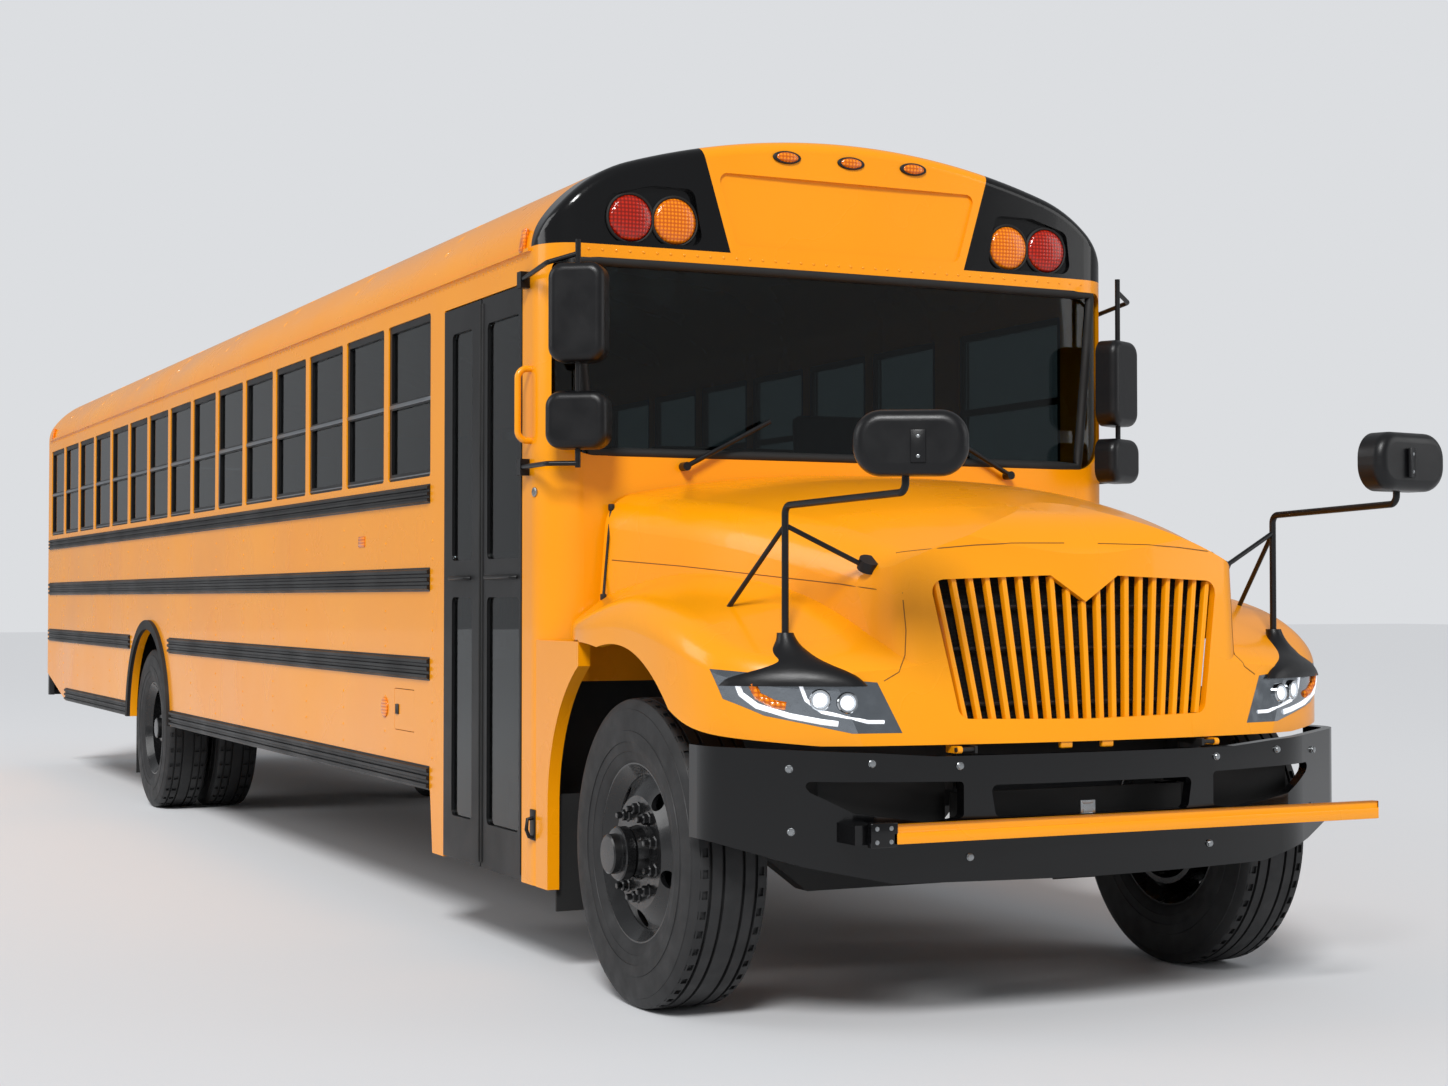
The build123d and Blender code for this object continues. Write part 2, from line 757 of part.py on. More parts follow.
# The headlamp seen from the front, as (x, z), from its outer top corner round.
lamp_points = (
    (1165.0, 1120.0),
    (1084.0, 1111.0),
    (925.0, 1098.0),
    (725.0, 1080.0),
    (652.0, 927.0),
    (806.0, 927.0),
    (1045.0, 981.0),
    (1140.0, 1030.0),
)

# The black base of the cross-view mirror's pole, on the fender above the headlamp.
# Columns: z, half length, half width, and its middle in x and y.
pod_rows = (
    (1070.0, 228.0, 52.0, 955.0, -1490.0),
    (1118.0, 165.0, 48.0, 952.0, -1480.0),
    (1160.0, 80.0, 38.0, 945.0, -1450.0),
    (1230.0, 26.0, 26.0, 941.0, -1412.0),
)
pod_turn = 31.0


def pod_section(side, row):
    z, along, across, x, y = row
    return Pos(side * x, y, z) * Rot(0, 0, side * pod_turn) * Ellipse(along, across)


def lamp_prism(grow):
    # The headlamp's outline, drawn back through the fender.
    face = outline(lamp_points)
    if grow:
        face = offset(face, grow, kind=Kind.INTERSECTION)
    return front_prism(face, (nose_y - 40, lamp_rear_y))


def make_headlamps(form):
    # A swept-back lens and housing at each front corner, flush with the fender.
    skin = form - Pos(0, lamp_depth, 0) * form
    lamp = (skin & lamp_prism(0)).solids().sort_by(SortBy.VOLUME)[-1]
    return lamp + mirror(lamp, about=Plane.YZ)


def mirror_head(centre, facing, width, height, depth, corner, edge_r):
    # A mirror's shell, round at the back; facing is where its back looks.
    plane = Plane(origin=centre, x_dir=(-facing[1], facing[0], 0), z_dir=facing)
    head = extrude(plane.offset(-depth / 2) * RectangleRounded(width, height, corner), depth)
    back = head.faces().sort_by(Axis((0, 0, 0), facing))[-1]
    return fillet(back.edges(), edge_r)


# Cross-view mirrors. Columns: side, head's centre, where the back of the head looks.
crossview_rows = (
    (-1, (-890.0, -2087.0, 1772.0), (-0.5, -0.866, 0)),
    (1, (905.0, -2087.0, 1765.0), (0.16, -0.987, 0)),
)


def make_crossview_mirrors(form):
    # Poles on the fenders, each carrying a mirror out ahead of the bumper.
    mirrors = []
    for side, centre, facing in crossview_rows:
        x, y = side * crossview_pole[0], crossview_pole[1]
        knee = (x, y, crossview_arm_z)
        elbow = (centre[0], centre[1] + 30, crossview_arm_z + 15)
        pole = bent_rod([(x, y, 1150), knee, elbow, (*elbow[:2], centre[2])], 28, crossview_pole_r)
        brace = rod((x, y, 1560), (side * 677, -1460, 1430), crossview_pole_r - 3)
        stay = rod((x, y, 1560), (side * 1008, -1140, 1300), crossview_pole_r - 3)
        foot = rod((side * 677, -1452, 1425), (side * 677, -1470, 1455), 32)
        head = mirror_head(centre, facing, 325, 185, 90, 80, 34)
        pod = loft([pod_section(side, row) for row in pod_rows])
        mirrors.append((pole + brace + stay + foot + head + pod) - form)
    return Compound(children=mirrors)


# Side mirrors. Columns: side, height of the flat mirror's foot and top, of the convex
# one's foot and top, where their backs look.
side_mirror_rows = (
    (-1, (2165.0, 2516.0), (1860.0, 2063.0), (-0.588, -0.809, 0)),
    (1, (2016.0, 2354.0), (1791.0, 1965.0), (0.46, -0.888, 0)),
)


def make_side_mirrors():
    # Two mirrors on one upright pole at each windshield post, held by two arms.
    mirrors = []
    low_z, high_z = side_mirror_arm_z
    for side, flat, convex, facing in side_mirror_rows:
        x = side * (half_width - side_mirror_in)
        y = side_mirror_y
        piece = rod((x, y, low_z - 15), (x, y, high_z + 110), 10)
        for z, width in ((flat, 205), (convex, 225)):
            piece += mirror_head((x, y, (z[0] + z[1]) / 2), facing, width, z[1] - z[0], 90, 55, 30)
        out = side * (half_width + 25)
        for z, end in ((high_z + 60, high_z), (low_z, low_z)):
            piece += bent_rod([(x, y, z), (out, y + 60, (z + end) / 2), (out, 90, end)], 20, 9)
            foot = sorted([side * (half_width + seat_gap), side * (half_width + 36)])
            piece += slab(foot, (70, 110), (end - 30, end + 30))
        mirrors.append(piece)
    return Compound(children=mirrors)


def make_front_bumper():
    # A wrap-round bumper, deepest at its middle, with three openings.
    ring = plan_prism(bumper_plan(0) - bumper_plan(bumper_depth), (bumper_foot_z, bumper_top_z + 40))
    top, end_top = bumper_top_z, bumper_top_z + 34
    foot, end_foot = bumper_foot_z, bumper_end_foot_z
    half = half_width
    # Half of the front view, from the foot at the middle round to the top there.
    low = [(0, foot), (700, foot + 6), (960, foot + 60), (half, end_foot)]
    right = low + [(half, end_top), (760, top + 14), (560, top), (0, top)]
    face = outline(right + [(-x, z) for x, z in right[-2:0:-1]])
    bends = [v for v in face.vertices() if abs(abs(v.X) - 960) < 1 or abs(abs(v.X) - 760) < 1]
    ring &= front_prism(fillet(bends, 200), (bumper_face_y - 10, -1200))
    centre = fillet(outline([(-362, 666), (362, 666), (379, 765), (-379, 765)]).vertices(), 20)
    ring -= front_prism(centre, (bumper_face_y - 10, -1300))
    side_hole = outline([(470, 670), (565, 652), (823, 691), (940, 752), (968, 786), (470, 778)])
    side_hole = front_prism(fillet(side_hole.vertices(), 14), (bumper_face_y - 10, -1350))
    ring -= both_sides(side_hole)
    mount_y = (bumper_face_y + 34, rail_y[0] - seat_gap)
    mounts = both_sides(slab((rail_outer_x - 66, rail_outer_x - 10), mount_y, (745, 850)))
    stand = slab((gate_pivot_x - 40, gate_pivot_x + 40), (gate_back_y + seat_gap, -1560), gate_z)
    return ring + mounts + stand


def bumper_plan(inset):
    # The bumper from above: a bowed middle, and ends that turn back along the fenders.
    half = half_width - bumper_side_gap - inset
    y = bumper_face_y + inset
    corner_y = -1420 + inset * 0.4
    bow = ThreePointArc((-860, y + 92), (0, y), (860, y + 92))
    right = [bow @ 1, (half, corner_y), (half, bumper_end_y)]
    face = make_face(bow + Polyline(*right, (-half, bumper_end_y), (-half, corner_y), bow @ 0))
    corners = [v for v in face.vertices() if abs(v.Y - corner_y) < 1]
    face = fillet(corners, 130 - inset)
    bends = [v for v in face.vertices() if abs(abs(v.X) - 860) < 1]
    return fillet(bends, 400)


def make_crossing_gate():
    y = gate_back_y
    bar = slab((gate_pivot_x + 50, gate_tip_x), (y - gate_depth, y), gate_z)
    bracket_z = (gate_z[0] - 8, gate_z[1] + 8)
    bracket = slab((gate_pivot_x, gate_pivot_x + 75), (y - gate_depth - 3, y), bracket_z)
    return bar + bracket


def tyre_profile():
    # Half-section of one tyre: columns are distance across from its middle, and radius.
    half = tyre_width / 2
    tread = tread_width / 2
    points = [
        (-bead_half, rim_r + seat_gap),
        (-half, 390),
        (-tread, 480),
        (-tread + 14, tyre_r),
        (tread - 14, tyre_r),
        (tread, 480),
        (half, 390),
        (bead_half, rim_r + seat_gap),
    ]
    return outline(points)


def spun(face, side, centre_x, axle_y):
    # A half-section turned about the axle; its positive x faces outboard.
    ring = revolve(face, Axis.X, 360)
    if side < 0:
        ring = mirror(ring, about=Plane.YZ)
    return Pos(side * centre_x, axle_y, tyre_r) * ring


def rim_profile():
    return [
        (-112, 300),
        (-104, rim_r),
        (-60, 262),
        (60, 262),
        (104, rim_r),
        (112, 300),
        (112, 288),
        (70, 252),
        (-70, 252),
        (-112, 288),
    ]


def make_front_wheel(side):
    # Rim, outward dished disc, hub and brake drum.
    rim = outline(rim_profile())
    disc = outline([(52, 256), (66, 256), (104, 185), (104, 100), (90, 100), (90, 178)])
    bore = front_spindle_r + seat_gap
    hub = outline(
        [
            (-40, bore),
            (-40, 95),
            (60, 110),
            (104.5, 110),
            (104.5, 90),
            (138, 82),
            (148, 60),
            (148, 0),
            (120, 0),
            (120, bore),
        ]
    )
    drum = outline([(-120, 195), (-120, 215), (60, 215), (60, bore), (50, bore), (50, 195)])
    wheel = spun(rim + disc + hub + drum, side, front_tyre_x, front_axle_y)
    return wheel - hand_holes(side * (front_tyre_x + 80), front_axle_y)


def hand_holes(x, axle_y):
    # The holes round a wheel's disc, between its nuts and its rim.
    holes = Pos(x, axle_y, tyre_r) * Rot(0, 90, 0) * PolarLocations(hand_hole_ring_r, hand_hole_count)
    return [place * Cylinder(hand_hole_r, 90) for place in holes]


def make_rear_wheel(side):
    # Twin rims whose dished discs meet, on one hub and drum.
    half = dual_spacing / 2
    rim = outline(rim_profile())
    dish = [(-60, 256), (-46, 256), (-112, 215), (-half + 12, 190)]
    disc = outline(dish + [(-half + 12, 110), (-half, 110), (-half, 200)])
    face = Pos(half, 0) * (rim + disc)
    face += mirror(face, about=Plane.YZ)
    bore = rear_spindle_r + seat_gap
    hub = outline(
        [
            (-100, bore),
            (-100, 112),
            (130, 112),
            (130, 90),
            (190, 84),
            (190, 0),
            (175, 0),
            (175, bore),
        ]
    )
    drum = outline([(-200, 200), (-200, 222), (-20, 222), (-20, 80), (-32, 80), (-32, 200)])
    face += hub + drum
    return spun(face, side, front_tyre_x - half, rear_axle_y)


def make_tyres(side, front):
    if front:
        return spun(tyre_profile(), side, front_tyre_x, front_axle_y)
    outer = spun(tyre_profile(), side, front_tyre_x, rear_axle_y)
    inner = spun(tyre_profile(), side, front_tyre_x - dual_spacing, rear_axle_y)
    return Compound(children=[outer, inner])


def make_knuckle(side):
    # Yoke over the axle's eye with its pin, and the spindle that carries the hub.
    x, y, z = kingpin_x, front_axle_y, tyre_r
    pin = Pos(x, y, z) * Cylinder(kingpin_r, 170)
    yoke = slab((x - 50, x + 90), (y - 45, y + 45), (z - 95, z + 95))
    yoke -= slab((x - 60, x + 60), (y - 50, y + 50), (z - 61, z + 61))
    spindle = rod((x + 80, y, z), (front_tyre_x + 100, y, z), front_spindle_r)
    arm = slab((x - 60, x + 20), (y + 40, y + 190), (z - 95, z - 70))
    knuckle = pin + yoke + spindle + arm
    return knuckle if side > 0 else mirror(knuckle, about=Plane.YZ)


def make_front_axle():
    # Forged beam with an eye at each end.
    low = [(0, 350), (560, 350), (700, 457), (kingpin_x, 457)]
    right = low + [(kingpin_x, 545), (660, 545), (520, 440), (0, 440)]
    beam = outline(right + [(-x, z) for x, z in right[-2:0:-1]])
    beam = front_prism(beam, (front_axle_y - 45, front_axle_y + 45))
    for side in (-1, 1):
        eye = Pos(side * kingpin_x, front_axle_y, tyre_r) * Cylinder(50, 120)
        beam += eye
        beam -= Pos(side * kingpin_x, front_axle_y, tyre_r) * Cylinder(kingpin_r + seat_gap, 140)
    return beam


def make_rear_axle():
    housing = rod((-620, rear_axle_y, tyre_r), (620, rear_axle_y, tyre_r), 75)
    bowl = Pos(0, rear_axle_y, tyre_r) * Sphere(215)
    spindle = rod((600, rear_axle_y, tyre_r), (front_tyre_x, rear_axle_y, tyre_r), rear_spindle_r)
    shaft = rod((0, shaft_front_y + 4, 740), (0, rear_axle_y - 180, tyre_r + 20), 50)
    return housing + bowl + both_sides(spindle) + shaft


def make_springs():
    springs = []
    for axle_y, seat_z, half in ((front_axle_y, 440.0, 640.0), (rear_axle_y, tyre_r + 75, 700.0)):
        low = seat_z + seat_gap
        ends = rail_z[0] - seat_gap
        under = ThreePointArc((axle_y - half, ends - 60), (axle_y, low), (axle_y + half, ends - 60))
        over = ThreePointArc((axle_y - half, ends), (axle_y, low + 90), (axle_y + half, ends))
        face = make_face(under + over + Line(under @ 0, over @ 0) + Line(under @ 1, over @ 1))
        springs.append(side_prism(face, spring_x))
        springs.append(mirror(side_prism(face, spring_x), about=Plane.YZ))
    return Compound(children=springs)


def make_frame():
    # Two channels and their cross-members.
    low, high = rail_z
    outer = rail_outer_x
    under_floor_z = floor_z - floor_thickness - seat_gap
    section = outline(
        [
            (outer, low),
            (outer, high),
            (outer - rail_flange, high),
            (outer - rail_flange, high - rail_web),
            (outer - rail_web, high - rail_web),
            (outer - rail_web, low + rail_web),
            (outer - rail_flange, low + rail_web),
            (outer - rail_flange, low),
        ]
    )
    frame = both_sides(front_prism(section, rail_y))
    for y in cross_member_y:
        frame += slab((-outer + rail_web - 1, outer - rail_web + 1), (y, y + 70), (low + 60, high - 40))
    for y in outrigger_y:
        frame += slab((-inner_half + 60, inner_half - 60), (y, y + 60), (high - 1, under_floor_z))
    bracket = outline(
        [
            (rail_y[0] + 120, high - 30),
            (rail_y[0] + 120, high - 120),
            (hood_pivot_y - hood_ear_r, hood_pivot_z - hood_ear_r),
            (hood_pivot_y - hood_ear_r, hood_pivot_z + hood_ear_r),
            (hood_pivot_y + 130, hood_pivot_z + hood_ear_r),
        ]
    )
    bracket = side_prism(bracket, (outer - rail_web, outer))
    return frame + both_sides(bracket + hood_pin(0))


def make_engine():
    block = slab((-330, 330), (-1380, -420), (700, 1420))
    gearbox = slab((-200, 200), (-421, 300), (700, 985))
    tail = rod((0, 299, 780), (0, shaft_front_y, 745), 60)
    mounts = both_sides(slab((329, rail_outer_x - rail_web - seat_gap), (-900, -820), (790, 870)))
    radiator = slab((-340, 340), (-1480, -1430), (rail_z[1] + seat_gap, 1390))
    radiator += slab((-426, 426), (-1480, -1430), (rail_z[1] + seat_gap, 1020))
    return Compound(children=[block + gearbox + tail + mounts, radiator])


def make_fuel_tank():
    face = window_face((-1090, 600), (-rail_outer_x - seat_gap, 980), 60)
    tank = front_prism(face, (1380, 2750))
    return tank + rod((-1080, 1560, 870), (-half_width + 30, 1560, 870), 38)


def make_exhaust():
    # Silencer and pipe along the left rail, on hangers from its web.
    x, z = 525.0, 690.0
    pipe = rod((x, 300, z), (x, rail_y[1] + 50, z), 50)
    pipe += rod((x + 50, 2400, z), (x + 50, 3500, z), 130)
    for y in (600, 2250, 3700, 5600, 8200, rail_y[1] - 690):
        pipe += slab((rail_outer_x + seat_gap, x), (y, y + 40), (z + 30, z + 80))
    return pipe


def make_seats():
    # Rows of benches on both sides of the aisle.
    seats = []
    profile = outline([(0, 0), (520, 0), (600, 640), (520, 680), (455, 640), (400, 130), (0, 130)])
    profile = fillet(profile.vertices().sort_by(Axis.Y)[-3:], 20)
    for i in range(seat_rows):
        y = seat_first_y + seat_pitch * i
        for side in (-1, 1):
            x = sorted([side * aisle_half, side * (inner_half - seat_wall_gap)])
            bench = side_prism(Pos(y, floor_z + seat_height) * profile, x)
            low, high = wheelhouse_span
            on_house = y + 400 > low and y + 60 < high
            for leg_x in (aisle_half + 40, inner_half - seat_wall_gap - 80):
                foot = wheelhouse_z if on_house and leg_x > wheelhouse_x else floor_z
                leg = sorted([side * leg_x, side * (leg_x + 40)])
                bench += slab(leg, (y + 60, y + 400), (foot + seat_gap, floor_z + seat_height + 1))
            seats.append(bench)
    return Compound(children=seats)


def make_driver_seat():
    base = slab((520, 760), (620, 900), (floor_z + seat_gap, 1400))
    cushion = slab((390, 890), (520, 1000), (1400, 1520))
    back = side_prism(outline([(960, 1450), (1080, 1450), (1180, 2150), (1080, 2150)]), (400, 880))
    return base + fillet(cushion.edges().filter_by(Axis.Z), 40) + back


def make_dashboard():
    # Instrument shelf across the front and the console in front of the driver.
    face = outline([(-70, 1560), (60, 1540), (200, 1600), (170, 1740), (20, 1800), (-70, 1800)])
    shelf = side_prism(face, (-1000, 1000))
    console = outline([(-70, 1300), (240, 1500), (290, 1640), (200, 1740), (-70, 1780)])
    console = side_prism(console, (330, 960))
    panel = slab((-inner_half, inner_half), (-78, -40), (floor_z + 1, 1560))
    room = plan_prism(front_plan(wall + seat_gap, 400), (floor_z, 1820))
    return (shelf + console + panel) & room


def make_steering_wheel():
    tilt = Pos(640, 400, 1740) * Rot(-35, 0, 0)
    ring = Torus(215, 15)
    hub = Pos(0, 0, -15) * Cylinder(60, 40)
    spokes = Box(420, 36, 14) + Pos(0, -105, 0) * Box(36, 210, 14)
    column = Pos(0, 0, -100) * Cylinder(28, 160)
    return tilt * (ring + hub + spokes + column) - make_dashboard()


def make_wipers():
    wipers = []
    for side, lean in ((-1, 1), (1, -1)):
        pivot = (side * 695.0, -148.0, 1815.0)
        tip = (side * 695.0 + lean * 340.0, -148.0, 1990.0)
        boss = rod((pivot[0], -115.5, pivot[2]), (pivot[0], -157, pivot[2]), 16)
        wipers.append(rod(pivot, tip, 9) + boss)
    return Compound(children=wipers)


def make_mud_flaps():
    top = floor_z - floor_thickness - seat_gap
    rear_y = rear_arch_y + rear_arch_r
    front = both_sides(slab((930, inner_half - seat_gap), (-90, -80), (225, 640)))
    rear = both_sides(slab((640, inner_half - seat_gap), (rear_y, rear_y + 10), (180, top)))
    return front + rear


def make_grab_handle():
    y = 60.0
    x = -half_width - side_reach + 12
    wall_x = -half_width - seat_gap
    return bent_rod([(wall_x, y, 1905), (x, y, 1905), (x, y, 2165), (wall_x, y, 2165)], 35, 12)


def make_rear_bumper():
    half = half_width - 29
    face = slab((-half, half), (body_length + 2, body_length + 110), (560, 755))
    face = fillet(face.edges().filter_by(Axis.Z), 40)
    room = slab((40 - half, half - 40), (body_length + 1, body_length + 98), (550, 743))
    arm_y = (rail_y[1] - 140, body_length + 100)
    arms = both_sides(slab((rail_outer_x - 66, rail_outer_x - 10), arm_y, (640, rail_z[0] - seat_gap)))
    return face - room + arms


def make_leaf(front):
    # One half of the entry door: frame with two windows and a kick panel.
    middle = (door_y[0] + door_y[1]) / 2
    if front:
        low, high = door_y[0] + seat_gap, middle - leaf_gap / 2
        glass = (178.0, 526.0)
    else:
        low, high = middle + leaf_gap / 2, door_y[1] - seat_gap
        glass = (699.0, 939.0)
    x = (-half_width, -half_width + leaf_depth)
    sheet = outline([(low, door_foot_z), (high, door_foot_z), (high, door_head_z), (low, door_head_z)])
    spans = ((leaf_kick_z, leaf_band_z[0]), (leaf_band_z[1], door_head_z - leaf_top_rail))
    panes = []
    for z in spans:
        low_corner, high_corner = (glass[0], z[0]), (glass[1], z[1])
        sheet -= window_face(low_corner, high_corner, 25)
        face = pane_face(low_corner, high_corner, 25)
        panes.append(side_prism(face, (x[0] + 12, x[0] + 12 + glass_thickness)))
    return side_prism(sheet, x), Compound(children=panes)


def make_rear_door():
    x = (seat_gap - rear_door_half, rear_door_half - leaf_edge_gap)
    z = (rear_door_z[0] + leaf_edge_gap, rear_door_z[1] - leaf_edge_gap)
    sheet = window_face((x[0], z[0]), (x[1], z[1]), 36)
    low_window = ((-rear_window_half, 1280.0), (rear_window_half, 1640.0))
    high_window = ((-rear_window_half, rear_window_z[0]), (rear_window_half, rear_window_z[1]))
    y = (body_length - rear_door_depth, body_length)
    panes = []
    for low, high in (low_window, high_window):
        sheet -= window_face(low, high, 50)
        face = pane_face(low, high, 50)
        panes.append(front_prism(face, (y[0] + 17, y[0] + 17 + glass_thickness)))
    return front_prism(sheet, y), Compound(children=panes)


def make_stop_arm():
    # A blank eight-sided blade folded against the side, on its hinge box.
    blade = Pos(stop_arm_y + 260, 1590) * RegularPolygon(228, 8, major_radius=False, rotation=22.5)
    blade = side_prism(blade, (half_width + side_reach - 10, half_width + side_reach))
    arm = slab((stop_arm_x, half_width + side_reach - 9), (stop_arm_y, stop_arm_y + 200), (1480, 1700))
    return blade + arm


def make_fuel_door():
    gap = fuel_door_gap
    low = (fuel_door_low[0] + seat_gap, fuel_door_low[1] + gap)
    high = (fuel_door_high[0] - gap, fuel_door_high[1] - gap)
    return side_prism(window_face(low, high, 8), (-half_width, -half_width + fuel_door_depth))


def build_nodes():
    nodes = {}
    nodes["frame_rails"] = make_frame()
    nodes["front_axle"] = make_front_axle()
    nodes["rear_axle"] = make_rear_axle()
    nodes["leaf_springs"] = make_springs()
    nodes["engine_and_radiator"] = make_engine()
    nodes["fuel_tank"] = make_fuel_tank()
    nodes["exhaust"] = make_exhaust()
    nodes["floor"] = make_floor()
    nodes["entry_steps"] = make_steps()
    nodes["wheelhouses"] = make_wheelhouses()
    nodes["side_wall_right"] = make_side_wall(-1)
    nodes["side_wall_left"] = make_side_wall(1)
    nodes["rear_wall"] = make_tail()
    nodes["roof"] = make_roof()
    nodes["front_cap"], nodes["lamp_hoods"] = make_front_cap()
    nodes["cowl"] = make_cowl()
    nodes["windshield"] = make_windshield()
    nodes["window_sashes"], nodes["window_glass"] = make_windows()
    nodes["rub_rails"] = make_rub_rails()
    nodes["wheel_arch_trims"] = make_arch_trims()
    nodes["red_lamps"], nodes["amber_lamps"] = make_lamps()
    nodes["front_bumper"] = make_front_bumper()
    nodes["rear_bumper"] = make_rear_bumper()
    nodes["bench_seats"] = make_seats()
    nodes["driver_seat"] = make_driver_seat()
    nodes["dashboard"] = make_dashboard()
    nodes["steering_wheel"] = make_steering_wheel()
    nodes["side_mirrors"] = make_side_mirrors()
    nodes["wipers"] = make_wipers()
    nodes["mud_flaps"] = make_mud_flaps()
    nodes["grab_handle"] = make_grab_handle()
    form = hood_solid(0)
    nodes["hood"] = make_hood(form)
    nodes["grille"] = make_grille()
    nodes["headlamps"] = make_headlamps(form)
    nodes["crossview_mirrors"] = make_crossview_mirrors(form)
    nodes["entry_leaf_front"], nodes["entry_glass_front"] = make_leaf(True)
    nodes["entry_leaf_rear"], nodes["entry_glass_rear"] = make_leaf(False)
    nodes["rear_door"], nodes["rear_door_glass"] = make_rear_door()
    nodes["crossing_gate"] = make_crossing_gate()
    nodes["stop_arm"] = make_stop_arm()
    nodes["fuel_door"] = make_fuel_door()
    for name, side in (("left", 1), ("right", -1)):
        nodes["knuckle_" + name] = make_knuckle(side)
        nodes["front_wheel_" + name] = make_front_wheel(side)
        nodes["front_tyre_" + name] = make_tyres(side, True)
        nodes["rear_wheel_" + name] = make_rear_wheel(side)
        nodes["rear_tyres_" + name] = make_tyres(side, False)
    return nodes


def write_parts():
    nodes = build_nodes()
    boxes = [shape.bounding_box() for shape in nodes.values()]
    low_y = min(box.min.Y for box in boxes)
    high_y = max(box.max.Y for box in boxes)
    shift = -(low_y + high_y) / 2
    print("moved along Y by", round(shift, 3))
    print("reach in X", min(box.min.X for box in boxes), max(box.max.X for box in boxes))
    os.makedirs("parts", exist_ok=True)
    for name, shape in nodes.items():
        export_step(Pos(0, shift, 0) * shape, "parts/" + name + ".step")


if __name__ == "__main__":
    write_parts()
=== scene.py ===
import bpy
import bmesh
import json
from math import cos, pi, radians, sin
from mathutils import Matrix, Vector


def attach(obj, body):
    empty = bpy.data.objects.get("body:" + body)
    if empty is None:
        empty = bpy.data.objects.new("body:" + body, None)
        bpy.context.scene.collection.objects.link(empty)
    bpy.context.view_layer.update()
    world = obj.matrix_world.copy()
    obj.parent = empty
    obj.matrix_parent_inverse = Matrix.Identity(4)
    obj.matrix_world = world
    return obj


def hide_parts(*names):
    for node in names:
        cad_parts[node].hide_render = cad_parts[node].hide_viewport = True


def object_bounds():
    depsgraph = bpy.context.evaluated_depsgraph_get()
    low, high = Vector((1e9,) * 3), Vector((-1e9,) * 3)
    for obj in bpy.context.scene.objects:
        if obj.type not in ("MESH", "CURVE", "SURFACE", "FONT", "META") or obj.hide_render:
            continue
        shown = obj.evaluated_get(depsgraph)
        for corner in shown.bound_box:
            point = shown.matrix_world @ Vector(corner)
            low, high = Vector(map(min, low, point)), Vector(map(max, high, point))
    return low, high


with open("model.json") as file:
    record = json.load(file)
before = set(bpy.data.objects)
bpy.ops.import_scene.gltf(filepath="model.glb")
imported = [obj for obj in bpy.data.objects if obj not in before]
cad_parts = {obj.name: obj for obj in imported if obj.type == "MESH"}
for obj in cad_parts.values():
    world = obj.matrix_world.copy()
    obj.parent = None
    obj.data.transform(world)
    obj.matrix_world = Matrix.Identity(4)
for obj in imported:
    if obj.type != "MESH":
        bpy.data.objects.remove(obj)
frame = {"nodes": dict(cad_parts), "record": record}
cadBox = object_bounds()
nodes = frame["nodes"]
bpy.ops.object.select_all(action="DESELECT")

view = {
    "eye": (-4.0696, -12.0107, 1.3342),  # from the fit to the photograph's straight edges
    "turn": 25.6,  # degrees to the bus's left of straight ahead
    "rise": 1.43,  # degrees above level
    "lens": 55.47,
    "focal": 2231.0,  # the same lens in the photograph's pixels
    "middle": (724, 543),  # the photograph's middle in pixels
}
cornerY = -4.503111  # the body's front corner post, from which the drawing measures along the bus
beside = 1500  # rays onto the bus's sides start this far from its middle, in millimetres
acrossBus = Matrix.Scale(-1, 4, (1, 0, 0))


def at(x, y, z):
    # drawing millimetres to metres in the frame
    return Vector((x / 1000, cornerY + y / 1000, z / 1000))


def linear(hexColour):
    # sRGB hex to the linear values that a shader takes
    parts = [int(hexColour[i : i + 2], 16) / 255 for i in (1, 3, 5)]
    return [p / 12.92 if p <= 0.04045 else ((p + 0.055) / 1.055) ** 2.4 for p in parts] + [1.0]


def addNode(tree, kind, settings=None, inputs=None, links=None):
    # one node with its settings, socket values and incoming links {socket: (node, output)}
    node = tree.nodes.new(kind)
    for name, value in (settings or {}).items():
        setattr(node, name, value)
    for name, value in (inputs or {}).items():
        node.inputs[name].default_value = value
    for name, (source, output) in (links or {}).items():
        tree.links.new(source.outputs[output], node.inputs[name])
    return node


def newMaterial(name, colour, roughness, metallic=0.0, coat=0.0, specular=0.5):
    material = bpy.data.materials.new(name)
    material.use_nodes = True
    shader = material.node_tree.nodes["Principled BSDF"]
    shader.inputs["Base Color"].default_value = linear(colour)
    shader.inputs["Roughness"].default_value = roughness
    shader.inputs["Metallic"].default_value = metallic
    shader.inputs["Coat Weight"].default_value = coat
    shader.inputs["Specular IOR Level"].default_value = specular
    return material, material.node_tree, shader


def grainBump(tree, shader, place, perMetre, distance):
    # fine relief: perMetre grains lie along a metre, and distance is their height in metres
    grains = {"Scale": perMetre, "Detail": 3.0}
    noise = addNode(tree, "ShaderNodeTexNoise", None, grains, {"Vector": (place, "Object")})
    height = {"Distance": distance, "Strength": 1.0}
    bump = addNode(tree, "ShaderNodeBump", None, height, {"Height": (noise, "Fac")})
    tree.links.new(bump.outputs["Normal"], shader.inputs["Normal"])


def roughnessPatches(tree, shader, place, low, high, perMetre):
    patches = {"Scale": perMetre, "Detail": 4.0}
    noise = addNode(tree, "ShaderNodeTexNoise", None, patches, {"Vector": (place, "Object")})
    spread = {"From Min": 0.3, "From Max": 0.7, "To Min": low, "To Max": high}
    ramp = addNode(tree, "ShaderNodeMapRange", None, spread, {"Value": (noise, "Fac")})
    tree.links.new(ramp.outputs["Result"], shader.inputs["Roughness"])


